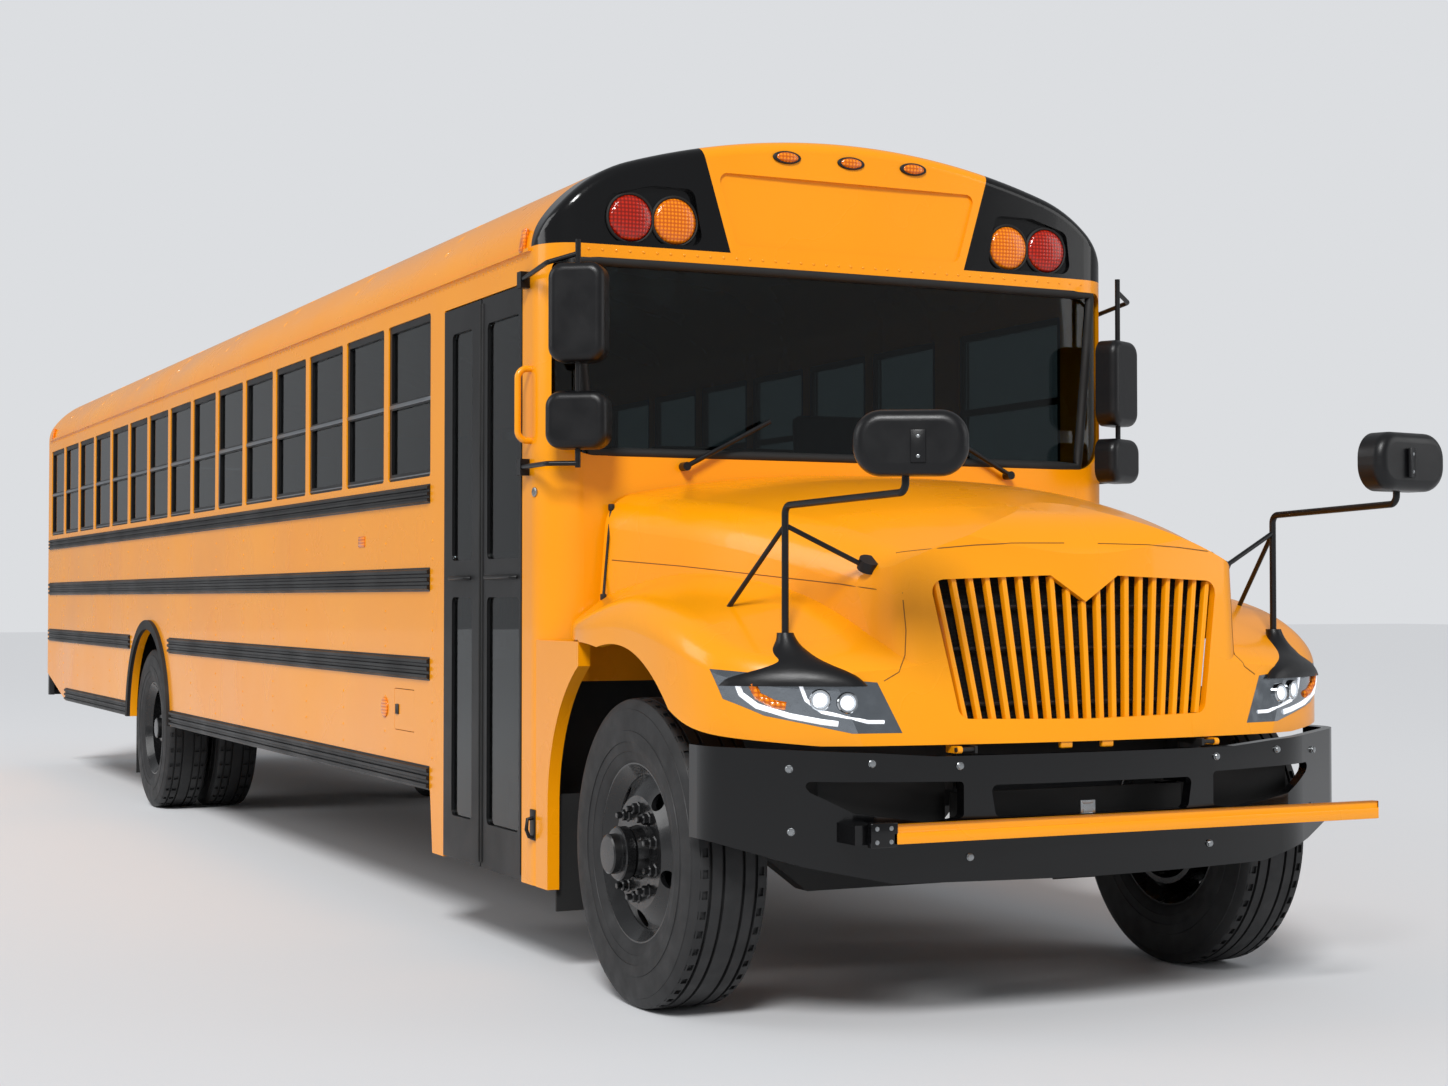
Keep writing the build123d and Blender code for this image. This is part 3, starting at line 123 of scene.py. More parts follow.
def colourPatches(tree, shader, place, light, dark, perMetre, softness=0.2):
    patches = {"Scale": perMetre, "Detail": 5.0}
    noise = addNode(tree, "ShaderNodeTexNoise", None, patches, {"Vector": (place, "Object")})
    ramp = addNode(tree, "ShaderNodeValToRGB", None, None, {"Fac": (noise, "Fac")})
    for end, side, colour in zip(ramp.color_ramp.elements, (-1, 1), (dark, light)):
        end.position = 0.5 + side * softness
        end.color = linear(colour)
    tree.links.new(ramp.outputs["Color"], shader.inputs["Base Color"])


def lensPrisms(tree, shader, place, pitch, depth, grooveShadeColours=None):
    # square prisms, pitch metres apart, with painted shade: a darker colour in the grooves between
    # them
    both = addNode(tree, "ShaderNodeMath", {"operation": "MULTIPLY"})
    for i, direction in enumerate(("X", "Z")):
        wave = addNode(
            tree,
            "ShaderNodeTexWave",
            {"wave_type": "BANDS", "bands_direction": direction, "wave_profile": "TRI"},
            {"Scale": 0.314 / pitch / 2},
            {"Vector": (place, "Object")},
        )
        tree.links.new(wave.outputs["Fac"], both.inputs[i])
    bump = addNode(tree, "ShaderNodeBump", None, {"Distance": depth}, {"Height": (both, "Value")})
    tree.links.new(bump.outputs["Normal"], shader.inputs["Normal"])
    if grooveShadeColours:
        ramp = addNode(tree, "ShaderNodeValToRGB", None, None, {"Fac": (both, "Value")})
        for end, position, colour in zip(ramp.color_ramp.elements, (0.05, 0.55), grooveShadeColours):
            end.position = position
            end.color = linear(colour)
        tree.links.new(ramp.outputs["Color"], shader.inputs["Base Color"])


# grain: grains in a metre and their height in metres; polish: lowest and highest roughness and
# patches in a metre; tones: light, dark, patches in a metre and softness; prisms: pitch and depth
# in metres and the colours of groove, a painted shade, and of prism; glow: colour and strength
finishLooks = {
    # baked enamel on steel sheet: deep even colour, faint orange peel, a little road film
    "busYellowEnamel": {
        "colour": "#F59A00", "roughness": 0.24, "coat": 0.22, "specular": 0.4,
        "grain": (260.0, 0.00006), "polish": (0.2, 0.34, 1.3),
        "tones": ("#F8A003", "#EE9200", 0.8, 0.35),
    },
    # gloss black enamel on the bumper and the lamp hoods: mirror-like with soft waves
    "glossBlackEnamel": {
        "colour": "#050506", "roughness": 0.1, "coat": 0.15, "specular": 0.35,
        "grain": (180.0, 0.00005), "polish": (0.1, 0.2, 2.0),
    },
    # satin powder coat on rails, door frames and sashes: fine pebble, soft sheen
    "satinBlackPowderCoat": {
        "colour": "#0D0D0E", "roughness": 0.42, "specular": 0.35,
        "grain": (700.0, 0.00008), "polish": (0.36, 0.5, 3.0),
    },
    # brushed chassis paint, dusty where the road throws it up
    "chassisBlackPaint": {
        "colour": "#101011", "roughness": 0.6,
        "grain": (300.0, 0.0002), "tones": ("#1B1A19", "#0C0C0D", 4.0),
    },
    # vulcanised tyre rubber: matt, slightly grey with dust
    "tyreRubber": {
        "colour": "#18181A", "roughness": 0.58,
        "grain": (900.0, 0.00015), "polish": (0.5, 0.7, 14.0), "tones": ("#222223", "#141415", 9.0),
    },
    # black wheel enamel over pressed steel: glossy, with duller dusty patches
    "blackWheelEnamel": {
        "colour": "#0E0E0F", "roughness": 0.22, "coat": 0.3,
        "grain": (300.0, 0.0001), "polish": (0.18, 0.34, 12.0),
    },
    # tinted safety glass: dark, clear enough to show the seats faintly
    "tintedSafetyGlass": {
        "colour": "#5A6568", "roughness": 0.015, "glassIor": 1.33, "grain": (1.2, 0.0004),
    },
    # laminated windscreen glass: lighter tint than the side panes
    "laminatedWindscreen": {
        "colour": "#7F8C8C", "roughness": 0.015, "glassIor": 1.36, "grain": (0.9, 0.0005),
    },
    # moulded acrylic lenses with square prisms 7 mm apart, the grooves between them darkened as
    # painted shade
    "redAcrylicLens": {
        "colour": "#C0240A", "roughness": 0.12, "coat": 0.3, "specular": 0.4,
        # the first, darker prism colour is painted shade in the grooves
        "prisms": (0.007, 0.001, ("#7C1204", "#C0240A")),
    },
    "amberAcrylicLens": {
        "colour": "#FA8E0C", "roughness": 0.12, "coat": 0.3, "specular": 0.4,
        # the first, darker prism colour is painted shade in the grooves
        "prisms": (0.007, 0.001, ("#C45C05", "#FA8E0C")),
    },
    # vacuum-coated headlamp reflector under its clear cover: grey chrome
    "darkChromeReflector": {
        "colour": "#8C9298", "roughness": 0.12, "metallic": 1.0, "coat": 0.6,
        "grain": (60.0, 0.0002), "polish": (0.08, 0.24, 20.0),
    },
    # plated rings round the projectors: bright chrome
    "brightChrome": {
        "colour": "#C9CDD0", "roughness": 0.08, "metallic": 1.0,
        "grain": (80.0, 0.00005), "polish": (0.05, 0.14, 9.0),
    },
    # opal light guide: lit from behind, so it glows evenly
    "opalLightGuide": {
        "colour": "#F4F7FA", "roughness": 0.18, "coat": 0.4,
        "grain": (240.0, 0.0001), "glow": ("#F2F6FF", 0.6),
    },
    # satin anodised aluminium of the sash rails: soft silver
    "anodisedAluminium": {
        "colour": "#8E9296", "roughness": 0.36, "metallic": 1.0,
        "grain": (500.0, 0.00004), "polish": (0.3, 0.46, 5.0),
    },
    # zinc-plated bolts and latches: grey metal, unevenly bright
    "zincPlatedSteel": {
        "colour": "#9DA0A2", "roughness": 0.3, "metallic": 1.0,
        "grain": (600.0, 0.00008), "polish": (0.22, 0.42, 60.0),
    },
    # extruded EPDM seals: matt, slightly chalky
    "epdmSealRubber": {
        "colour": "#101010", "roughness": 0.68,
        "grain": (500.0, 0.0001), "polish": (0.6, 0.78, 8.0),
    },
    # moulded ABS of the mirror shells and dashboard: spark-eroded grain
    "texturedBlackAbs": {
        "colour": "#0C0C0E", "roughness": 0.32, "specular": 0.35,
        "grain": (900.0, 0.0002), "polish": (0.28, 0.42, 10.0),
    },
    # rubber matting on the floor and steps: dull, worn a little smoother where feet go
    "ribbedFloorRubber": {
        "colour": "#1C1C1C", "roughness": 0.7,
        "grain": (400.0, 0.0003), "polish": (0.62, 0.8, 4.0),
    },
    # coated vinyl of the bench seats: leather grain 2 mm across
    "seatVinyl": {
        "colour": "#2A3A44", "roughness": 0.46,
        "grain": (500.0, 0.0004), "tones": ("#2F414C", "#22303A", 3.0),
    },
    # painted cast iron of the engine: rough sand-cast skin under grey paint
    "castIronPaint": {
        "colour": "#2C2D2F", "roughness": 0.6,
        "grain": (200.0, 0.0005), "polish": (0.5, 0.7, 12.0),
    },
    # exhaust steel that has been hot: brown and straw tints on bare metal
    "heatedSteel": {
        "colour": "#6A625A", "roughness": 0.45, "metallic": 1.0,
        "grain": (200.0, 0.0002), "tones": ("#7A6F63", "#4C433B", 6.0),
    },
    # stop arm: red reflective enamel, whose white edge band is painted on below, left blank
    "signRedEnamel": {
        "colour": "#A8120E", "roughness": 0.3, "coat": 0.2,
        "grain": (300.0, 0.0001), "polish": (0.24, 0.36, 6.0),
    },
    # woven steel mesh in front of the radiator: near black
    "radiatorMesh": {
        "colour": "#070707", "roughness": 0.7, "specular": 0.2, "prisms": (0.006, 0.002),
    },
    # shadow line in an open panel seam: dark ochre, dull
    "seamShadow": {
        "colour": "#7A4A04", "roughness": 0.6,
        "grain": (300.0, 0.0001), "polish": (0.5, 0.7, 6.0),
    },
}

sign = {
    "middle": (0, 590, 1590),
    "red": "#A8120E",
    "white": "#E6E6E2",
    "band": (0.196, 0.219),  # metres from the middle to the band's inner and outer edges
}


def paintSignBand(material):
    # an eight-sided white band: the furthest of four measures across the blade sets the colour
    tree = material.node_tree
    middle = at(*sign["middle"])
    place = addNode(tree, "ShaderNodeTexCoord")
    fromMiddle = addNode(
        tree,
        "ShaderNodeVectorMath",
        {"operation": "SUBTRACT"},
        {1: (0.0, middle.y, middle.z)},
        {0: (place, "Object")},
    )
    furthest = None
    for i in range(4):
        side = addNode(
            tree,
            "ShaderNodeVectorMath",
            {"operation": "DOT_PRODUCT"},
            {1: (0.0, cos(i * pi / 4), sin(i * pi / 4))},
            {0: (fromMiddle, "Vector")},
        )
        absolute = {"operation": "ABSOLUTE"}
        size = addNode(tree, "ShaderNodeMath", absolute, None, {0: (side, "Value")})
        if furthest:
            pair = {0: (furthest, "Value"), 1: (size, "Value")}
            furthest = addNode(tree, "ShaderNodeMath", {"operation": "MAXIMUM"}, None, pair)
        else:
            furthest = size
    band = addNode(tree, "ShaderNodeValToRGB", None, None, {"Fac": (furthest, "Value")})
    band.color_ramp.interpolation = "CONSTANT"
    band.color_ramp.elements[0].color = linear(sign["red"])
    band.color_ramp.elements[1].position = sign["band"][0]
    band.color_ramp.elements[1].color = linear(sign["white"])
    rim = band.color_ramp.elements.new(sign["band"][1])
    rim.color = linear(sign["red"])
    tree.links.new(band.outputs["Color"], tree.nodes["Principled BSDF"].inputs["Base Color"])


def makeMaterials():
    made = {}
    for name, look in finishLooks.items():
        material, tree, shader = newMaterial(
            name,
            look["colour"],
            look["roughness"],
            look.get("metallic", 0.0),
            look.get("coat", 0.0),
            look.get("specular", 0.5),
        )
        place = addNode(tree, "ShaderNodeTexCoord")
        if "grain" in look:
            grainBump(tree, shader, place, *look["grain"])
        if "polish" in look:
            roughnessPatches(tree, shader, place, *look["polish"])
        if "tones" in look:
            colourPatches(tree, shader, place, *look["tones"])
        if "prisms" in look:
            lensPrisms(tree, shader, place, *look["prisms"])
        if "glassIor" in look:
            shader.inputs["Transmission Weight"].default_value = 1.0
            shader.inputs["IOR"].default_value = look["glassIor"]
        if "glow" in look:
            shader.inputs["Emission Color"].default_value = linear(look["glow"][0])
            shader.inputs["Emission Strength"].default_value = look["glow"][1]
        made[name] = material
    paintSignBand(made["signRedEnamel"])
    return made


slotFinish = {
    "body_yellow": "busYellowEnamel",
    "gloss_black": "glossBlackEnamel",
    "chassis_black": "chassisBlackPaint",
    "spring_steel": "chassisBlackPaint",
    "engine_grey": "castIronPaint",
    "exhaust_steel": "heatedSteel",
    "floor_rubber": "ribbedFloorRubber",
    "tinted_glass": "tintedSafetyGlass",
    "sash_black": "satinBlackPowderCoat",
    "rail_black": "satinBlackPowderCoat",
    "rubber_black": "epdmSealRubber",
    "lamp_red": "redAcrylicLens",
    "lamp_amber": "amberAcrylicLens",
    "lamp_clear": "darkChromeReflector",
    "seat_vinyl": "seatVinyl",
    "dash_plastic": "texturedBlackAbs",
    "mirror_black": "texturedBlackAbs",
    "sign_red": "signRedEnamel",
    "wheel_black": "blackWheelEnamel",
    "tyre": "tyreRubber",
}


def paint(piece, finish):
    piece.data.materials.clear()
    piece.data.materials.append(finishes[finish])


def paintNodes():
    for sub in frame["record"]["subparts"]:
        paint(nodes[sub["node"]], slotFinish[sub["material_slot"]])
    paint(nodes["windshield"], "laminatedWindscreen")


def only(piece):
    bpy.ops.object.select_all(action="DESELECT")
    piece.select_set(True)
    bpy.context.view_layer.objects.active = piece


def openEdit(piece):
    only(piece)
    bpy.ops.object.mode_set(mode="EDIT")
    bpy.ops.mesh.select_all(action="SELECT")


def closeEdit():
    bpy.ops.object.mode_set(mode="OBJECT")


def faceOutwards():
    # edit mode
    bpy.ops.mesh.select_all(action="SELECT")
    bpy.ops.mesh.normals_make_consistent(inside=False)


def pickFaces(piece, wanted):
    # edit mode: leaves selected only the faces whose middle and normal are wanted
    bpy.ops.mesh.select_mode(type="FACE")
    bpy.ops.mesh.select_all(action="DESELECT")
    mesh = bmesh.from_edit_mesh(piece.data)
    for face in mesh.faces:
        if wanted(face.calc_center_median(), face.normal):
            face.select_set(True)
    bmesh.update_edit_mesh(piece.data)


def pickEdges(piece, wanted):
    # edit mode: leaves selected only the edges that are wanted
    bpy.ops.mesh.select_mode(type="EDGE")
    bpy.ops.mesh.select_all(action="DESELECT")
    mesh = bmesh.from_edit_mesh(piece.data)
    for edge in mesh.edges:
        if wanted(edge):
            edge.select_set(True)
    bmesh.update_edit_mesh(piece.data)


def turned(profile, around):
    # a form turned about +Z, closed at foot and top: rows of (height, radius) in millimetres
    height, radius = profile[0]
    bpy.ops.mesh.primitive_circle_add(
        vertices=around, radius=radius / 1000, fill_type="NGON", location=(0, 0, height / 1000)
    )
    piece = bpy.context.object
    bpy.ops.object.transform_apply(location=True)
    openEdit(piece)
    for nextHeight, nextRadius in profile[1:]:
        step = (0, 0, (nextHeight - height) / 1000)
        bpy.ops.mesh.extrude_region_move(TRANSFORM_OT_translate={"value": step})
        ratio = nextRadius / radius
        bpy.ops.transform.resize(
            value=(ratio, ratio, 1), center_override=(0, 0, nextHeight / 1000)
        )
        height, radius = nextHeight, nextRadius
    faceOutwards()
    closeEdit()
    return piece


def openEnds(piece):
    # edit mode: takes the two end discs off a turned form
    pickFaces(piece, lambda c, n: abs(n.z) > 0.99 and Vector((c.x, c.y)).length < 0.01)
    bpy.ops.mesh.delete(type="ONLY_FACE")


def block(low, high, edge, segments=2):
    # a block between two corners in frame metres, its edges rounded by millimetres
    size = [h - l for l, h in zip(low, high)]
    centre = [(l + h) / 2 for l, h in zip(low, high)]
    bpy.ops.mesh.primitive_cube_add(size=1, location=centre, scale=size)
    piece = bpy.context.object
    bpy.ops.object.transform_apply(location=True, rotation=False, scale=True)
    if edge:
        openEdit(piece)
        bpy.ops.mesh.bevel(offset=edge / 1000, segments=segments, affect="EDGES")
        closeEdit()
    return piece


def boxAt(x, y, z, edge, segments=2):
    # the same from drawing millimetres
    return block(at(x[0], y[0], z[0]), at(x[1], y[1], z[1]), edge, segments)


def sunk(piece, facesWanted, border, depth):
    # a rim stays round the wanted faces, and their middle lies deeper, in metres
    openEdit(piece)
    pickFaces(piece, facesWanted)
    bpy.ops.mesh.inset(thickness=border, depth=-depth)
    closeEdit()


def walled(piece, thickness, offset):
    only(piece)
    wall = piece.modifiers.new("wall", "SOLIDIFY")
    wall.thickness = thickness
    wall.offset = offset
    bpy.ops.object.modifier_apply(modifier="wall")


def facing(point, normal):
    # carries +Z at the origin to a point and the way that it faces
    return Matrix.Translation(point) @ Vector(normal).to_track_quat("Z", "Y").to_matrix().to_4x4()


def leaning(point, degrees):
    # turns about the bus's cross line through a point
    turn = Matrix.Rotation(radians(degrees), 4, "X")
    return Matrix.Translation(point) @ turn @ Matrix.Translation(-point)


def copies(model, places):
    # one copy of the model's mesh at each place, and the model itself goes
    made = []
    for place in places:
        twin = model.copy()
        twin.data = model.data.copy()
        twin.data.transform(place)
        if place.determinant() < 0:
            twin.data.flip_normals()
        bpy.context.scene.collection.objects.link(twin)
        made.append(twin)
    bpy.data.objects.remove(model)
    return made


def onBothSides(places):
    # each place, and after it the same place mirrored across the bus
    return [p for place in places for p in (place, acrossBus @ place)]


def joined(pieces):
    bpy.ops.object.select_all(action="DESELECT")
    for piece in pieces:
        piece.select_set(True)
    bpy.context.view_layer.objects.active = pieces[0]
    if len(pieces) > 1:
        bpy.ops.object.join()
    return bpy.context.object


def done(piece, name, finish, body, smooth=35.0):
    only(piece)
    piece.name = name
    piece.data.name = name
    paint(piece, finish)
    bpy.ops.object.shade_smooth_by_angle(angle=radians(smooth))
    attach(piece, body)
    return piece


def seat(node, start, way):
    # where a ray from a drawing point first meets a CAD node, and the way that the surface faces
    hit, point, normal, _ = nodes[node].ray_cast(at(*start), Vector(way))
    if not hit:
        raise RuntimeError("no surface of " + node + " from " + str(start))
    return point, normal


def seen(node, u, v):
    # where the photograph's point (u, v) lies on a CAD node
    turn, rise = radians(view["turn"]), radians(view["rise"])
    ahead = Vector((sin(turn) * cos(rise), cos(turn) * cos(rise), sin(rise)))
    right = Vector((cos(turn), -sin(turn), 0))
    up = right.cross(ahead)
    middleU, middleV = view["middle"]
    way = (ahead * view["focal"] + right * (u - middleU) + up * (middleV - v)).normalized()
    hit, point, normal, _ = nodes[node].ray_cast(Vector(view["eye"]), way)
    if not hit:
        raise RuntimeError("the photograph's point %d,%d misses %s" % (u, v, node))
    return point, normal


def mirrored(point):
    return Vector((-point.x, point.y, point.z))


def tube(points, radius, around=6, cyclic=False):
    # a round bar through points, as a mesh
    curve = bpy.data.curves.new("bar", "CURVE")
    curve.dimensions = "3D"
    curve.bevel_depth = radius / 1000
    curve.bevel_resolution = around // 2 - 1
    curve.use_fill_caps = True
    line = curve.splines.new("POLY")
    line.points.add(len(points) - 1)
    for spot, point in zip(line.points, points):
        spot.co = (*point, 1.0)
    line.use_cyclic_u = cyclic
    piece = bpy.data.objects.new("bar", curve)
    bpy.context.scene.collection.objects.link(piece)
    only(piece)
    bpy.ops.object.convert(target="MESH")
    return bpy.context.object


def divided(points, steps):
    # the same line with each run cut into steps
    fine = []
    for a, b in zip(points, points[1:]):
        fine += [a + (b - a) * (i / steps) for i in range(steps)]
    return fine + [points[-1]]


tyre = {
    "segments": 96,
    # half of the tyre's section from the bead to the middle: across, radius
    "section": (
        (104, 287), (112, 293), (119, 303), (127, 330), (129, 331), (134, 362), (136.5, 362.5),
        (137.5, 398), (135, 399), (136, 436), (131, 468), (128.5, 469), (122, 489), (115, 499),
        (108, 502.5), (84, 504.2), (83, 492.5), (74, 492.5), (73, 504.6), (40, 505), (39, 492.5),
        (30, 492.5), (29, 505),
    ),
    "slotRim": 0.003,
    "slotDepth": 0.009,
    # every how many sectors a slot is cut, between which radii, and how far out, in metres
    "ribbed": (2, 0.4995, 0.5048, 0.083),
    "lugged": (3, 0.5, 0.516, 0.03),
}


def makeTyre(tread):
    half = tyre["section"]
    whole = half + tuple((-across, radius) for across, radius in reversed(half))
    piece = turned(whole, tyre["segments"])
    openEdit(piece)
    # the two end discs are the way through to the rim
    openEnds(piece)
    pickEdges(piece, lambda edge: edge.is_boundary)
    bpy.ops.mesh.bridge_edge_loops()
    step, inner, outer, shoulder = tyre[tread]

    def onTread(c, n):
        # every second or third sector of the shoulder is cut down, as tread slots
        spoke = Vector((c.x, c.y))
        turn = Vector((1, 0)).angle_signed(spoke) / (2 * pi)
        sector = int(round(turn * tyre["segments"] - 0.5))
        onRib = abs(c.z) > shoulder and abs(n.z) < 0.5
        return inner < spoke.length < outer and sector % step == 0 and onRib

    pickFaces(piece, onTread)
    bpy.ops.mesh.inset(thickness=tyre["slotRim"], use_individual=True)
    bpy.ops.mesh.extrude_region_shrink_fatten(
        TRANSFORM_OT_shrink_fatten={"value": -tyre["slotDepth"]}
    )
    faceOutwards()
    closeEdit()
    return piece


wheels = {
    "height": 505,
    "axles": {"front": -788, "rear": 7010},
    "outer": 1057,  # middle of an outer tyre
    "inner": 746,
    "nuts": 10,
    "nutRing": 142.9,
    "discSpot": 60,
    "hub": ((0, 88), (30, 88), (34, 84), (36, 66), (62, 64), (66, 58), (67, 30)),
    "nut": ((0, 23), (3, 23), (6, 18.5), (21, 18.5), (24, 15), (25, 11), (40, 11), (43, 8.5)),
}
sides = {"left": 1, "right": -1}


def makeTyres():
    front = makeTyre("ribbed")
    rear = makeTyre("lugged")
    height, outer, inner = wheels["height"], wheels["outer"], wheels["inner"]
    for side, out in sides.items():
        lie = Matrix.Rotation(out * pi / 2, 4, "Y")
        place = Matrix.Translation(at(out * outer, wheels["axles"]["front"], height)) @ lie
        steer = copies(front.copy(), [place])[0]
        steer = done(steer, "steerTyre_" + side, "tyreRubber", "front_wheel_" + side, 28)
        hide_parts("front_tyre_" + side)
        places = []
        for x in (outer, inner):
            places.append(Matrix.Translation(at(out * x, wheels["axles"]["rear"], height)) @ lie)
        pair = joined(copies(rear.copy(), places))
        drive = done(pair, "driveTyres_" + side, "tyreRubber", "rear_wheels_" + side, 28)
        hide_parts("rear_tyres_" + side)
    bpy.data.objects.remove(front)
    bpy.data.objects.remove(rear)


def makeHubs():
    nut = turned(wheels["nut"], 6)
    hub = turned(wheels["hub"], 40)
    height = wheels["height"]
    bodies = {"front": "front_wheel_", "rear": "rear_wheels_"}
    for side, out in sides.items():
        for axle, y in wheels["axles"].items():
            node = axle + "_wheel_" + side
            spots = []
            for i in range(wheels["nuts"]):
                turn = 2 * pi * (i + 0.5) / wheels["nuts"]
                ahead, up = wheels["nutRing"] * cos(turn), wheels["nutRing"] * sin(turn)
                spot = (out * beside, y + ahead, height + up)
                spots.append(facing(seat(node, spot, (-out, 0, 0))[0], (out, 0, 0)))
            # the hub stands on the wheel's disc, met beside its middle
            disc, _ = seat(node, (out * beside, y + wheels["discSpot"], height), (-out, 0, 0))
            middle = at(disc.x * 1000, y, height)
            parts = copies(hub.copy(), [facing(middle, (out, 0, 0))]) + copies(nut.copy(), spots)
            name = axle + "HubAndNuts_" + side
            piece = done(joined(parts), name, "blackWheelEnamel", bodies[axle] + side, 30)
    bpy.data.objects.remove(nut)
    bpy.data.objects.remove(hub)


lamps = {
    "bezel": ((0, 96), (5, 96), (8, 94), (10, 90), (8, 86), (2, 84.5)),
    "bezelFoot": -93.0,
    "bezelWall": 0.0012,
    "raysFrom": 20000.0,  # ahead of the bus and behind it
    "amberX": 719.0,
    "redX": 896.0,
    "frontZ": 2713.0,
    "rearZ": 2693.0,
    "dome": ((0, 84), (16, 84), (22, 80.5), (27, 72), (31, 56), (33.2, 34), (34, 12)),
    "tailX": 1040.0,
    "tailZ": (1560.0, 1290.0),
    "clearanceX": (-272.0, 0.0, 272.0),
    "clearanceZ": 2982.0,
    "clearanceRaysFrom": -600.0,
    "clearanceDepth": 0.02,
    "oval": (0.058, 0.024),  # the oval profiles are a metre in radius, and shrink by this
    "ovalLens": ((0, 780), (12, 780), (16, 700), (18.5, 520), (20, 250)),
    "ovalBase": ((0, 1000), (9, 1000), (12, 930), (12.5, 820)),
}


def makeLampBezels():
    ring = turned(lamps["bezel"], 56)
    openEdit(ring)
    openEnds(ring)
    closeEdit()
    places = []
    for x in (lamps["amberX"], lamps["redX"]):
        for side in (-1, 1):
            places.append(facing(at(side * x, lamps["bezelFoot"], lamps["frontZ"]), (0, -1, 0)))
    piece = joined(copies(ring, places))
    walled(piece, lamps["bezelWall"], -1.0)
    done(piece, "warningLampBezels", "epdmSealRubber", "body")


def makeLenses():
    # domed warning lamps front and rear, oval clearance lamps above the windscreen
    spots = {"amber": [], "red": []}
    for side in (-1, 1):
        for way, z in ((-1, lamps["frontZ"]), (1, lamps["rearZ"])):
            spots["amber"].append((side * lamps["amberX"], way, z))
            spots["red"].append((side * lamps["redX"], way, z))
        for z in lamps["tailZ"]:
            spots["red"].append((side * lamps["tailX"], 1, z))
    lenses = {}
    rise = lamps["dome"][-1][0] / 1000
    for colour in spots:
        places = []
        for x, way, z in spots[colour]:
            top, _ = seat(colour + "_lamps", (x, way * lamps["raysFrom"], z), (0, -way, 0))
            places.append(facing(top - Vector((0, way * rise, 0)), (0, way, 0)))
        lenses[colour] = copies(turned(lamps["dome"], 48), places)
    ovals = []
    for x in lamps["clearanceX"]:
        start = (x, lamps["clearanceRaysFrom"], lamps["clearanceZ"])
        top, _ = seat("amber_lamps", start, (0, 1, 0))
        foot = facing(top + Vector((0, lamps["clearanceDepth"], 0)), (0, -1, 0))
        ovals.append(foot @ Matrix.Diagonal((*lamps["oval"], 1, 1)))
    lenses["amber"] += copies(turned(lamps["ovalLens"], 40), ovals)
    bases = copies(turned(lamps["ovalBase"], 40), ovals)
    for colour in ("red", "amber"):
        lens = done(joined(lenses[colour]), colour + "Lenses", colour + "AcrylicLens", "body", 40)
        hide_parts(colour + "_lamps")
    done(joined(bases), "clearanceLampBases", "epdmSealRubber", "body", 40)


headlamp = {
    # name: points of the photograph, radius, finish
    "lines": {
        "lampGuide": (
            ((736, 681), (741, 694), (757, 706), (790, 716), (822, 722), (838, 724)),
            9.0,
            "opalLightGuide",
        ),
        "lampUpperGuide": (
            ((800, 684), (806, 700), (822, 712), (868, 722), (884, 722)),
            6.0,
            "opalLightGuide",
        ),
        "turnSignal": (((752, 684), (758, 696), (774, 704), (786, 706)), 13.0, "amberAcrylicLens"),
    },
    "projectors": ((820, 700), (847, 703)),
    "ring": ((0, 33), (8, 33), (12, 30), (12, 25), (4, 23)),
    "lens": ((0, 23), (6, 22), (10, 18), (13, 11), (14, 4)),
}


def makeHeadlamps():
    for name, (points, radius, finish) in headlamp["lines"].items():
        line = divided([seen("headlamps", u, v)[0] for u, v in points], 4)
        pair = joined(copies(tube(line, radius, 8), onBothSides([Matrix.Identity(4)])))
        done(pair, name, finish, "hood")
    places = [facing(*seen("headlamps", u, v)) for u, v in headlamp["projectors"]]
    for name, part, finish in (
        ("projectorRings", "ring", "brightChrome"),
        ("projectorLenses", "lens", "opalLightGuide"),
    ):
        pieces = joined(copies(turned(headlamp[part], 32), onBothSides(places)))
        done(pieces, name, finish, "hood")


fittings = {
    "bolt": ((0, 12), (2.5, 12), (3.5, 10.5), (8, 10.5), (10, 8.5), (10.5, 4)),
    "rivet": ((0, 6), (1.4, 5.2), (2.4, 3.2), (2.8, 1.2)),
    # points of the photograph
    "bumperBolts": ((789, 769), (872, 764), (960, 766), (791, 832), (970, 857)),
}


def makeBumperBolts():
    spots = []
    for u, v in fittings["bumperBolts"]:
        point, normal = seen("front_bumper", u, v)
        spots += [facing(point, normal), facing(mirrored(point), mirrored(normal))]
    piece = joined(copies(turned(fittings["bolt"], 18), spots))
    done(piece, "bumperBolts", "zincPlatedSteel", "body", 30)


rivets = {
    "pitch": 53.0,
    "roofY": 100.0,
    "roofCount": 203,  # on each side, in one row along the roof's edge
    "roofZ": 2577.0,
    "headerHalf": 20,  # rivets each side of the middle one
    "headerRaysFrom": -600,
    "headerZ": 2590.0,
    "postY": 1184.5,
    "postPitch": 647.0,
    "posts": 16,
    "bands": ((670, 985), (1112, 1350), (1478, 1710)),
    "bandStep": 75,
    "bandInset": 18,
    "arch": (6950, 530, 700),  # middle along and up, radius kept free
    "fuelDoor": (1380, 1730, 740, 990),
    "skin": (1.219, 0.002),  # how far out the flat panels lie, and by how much a spot may miss
}


def makeRivets():
    spots = []
    pitch = rivets["pitch"]
    for side in (-1, 1):
        for i in range(rivets["roofCount"]):
            start = (side * beside, rivets["roofY"] + i * pitch, rivets["roofZ"])
            spots.append(facing(*seat("roof", start, (-side, 0, 0))))
    for i in range(-rivets["headerHalf"], rivets["headerHalf"] + 1):
        start = (i * pitch, rivets["headerRaysFrom"], rivets["headerZ"])
        spots.append(facing(*seat("cowl", start, (0, 1, 0))))
    piece = joined(copies(turned(fittings["rivet"], 8), spots))
    done(piece, "headerRivets", "busYellowEnamel", "body", 50)
    print("rivets:", len(spots))


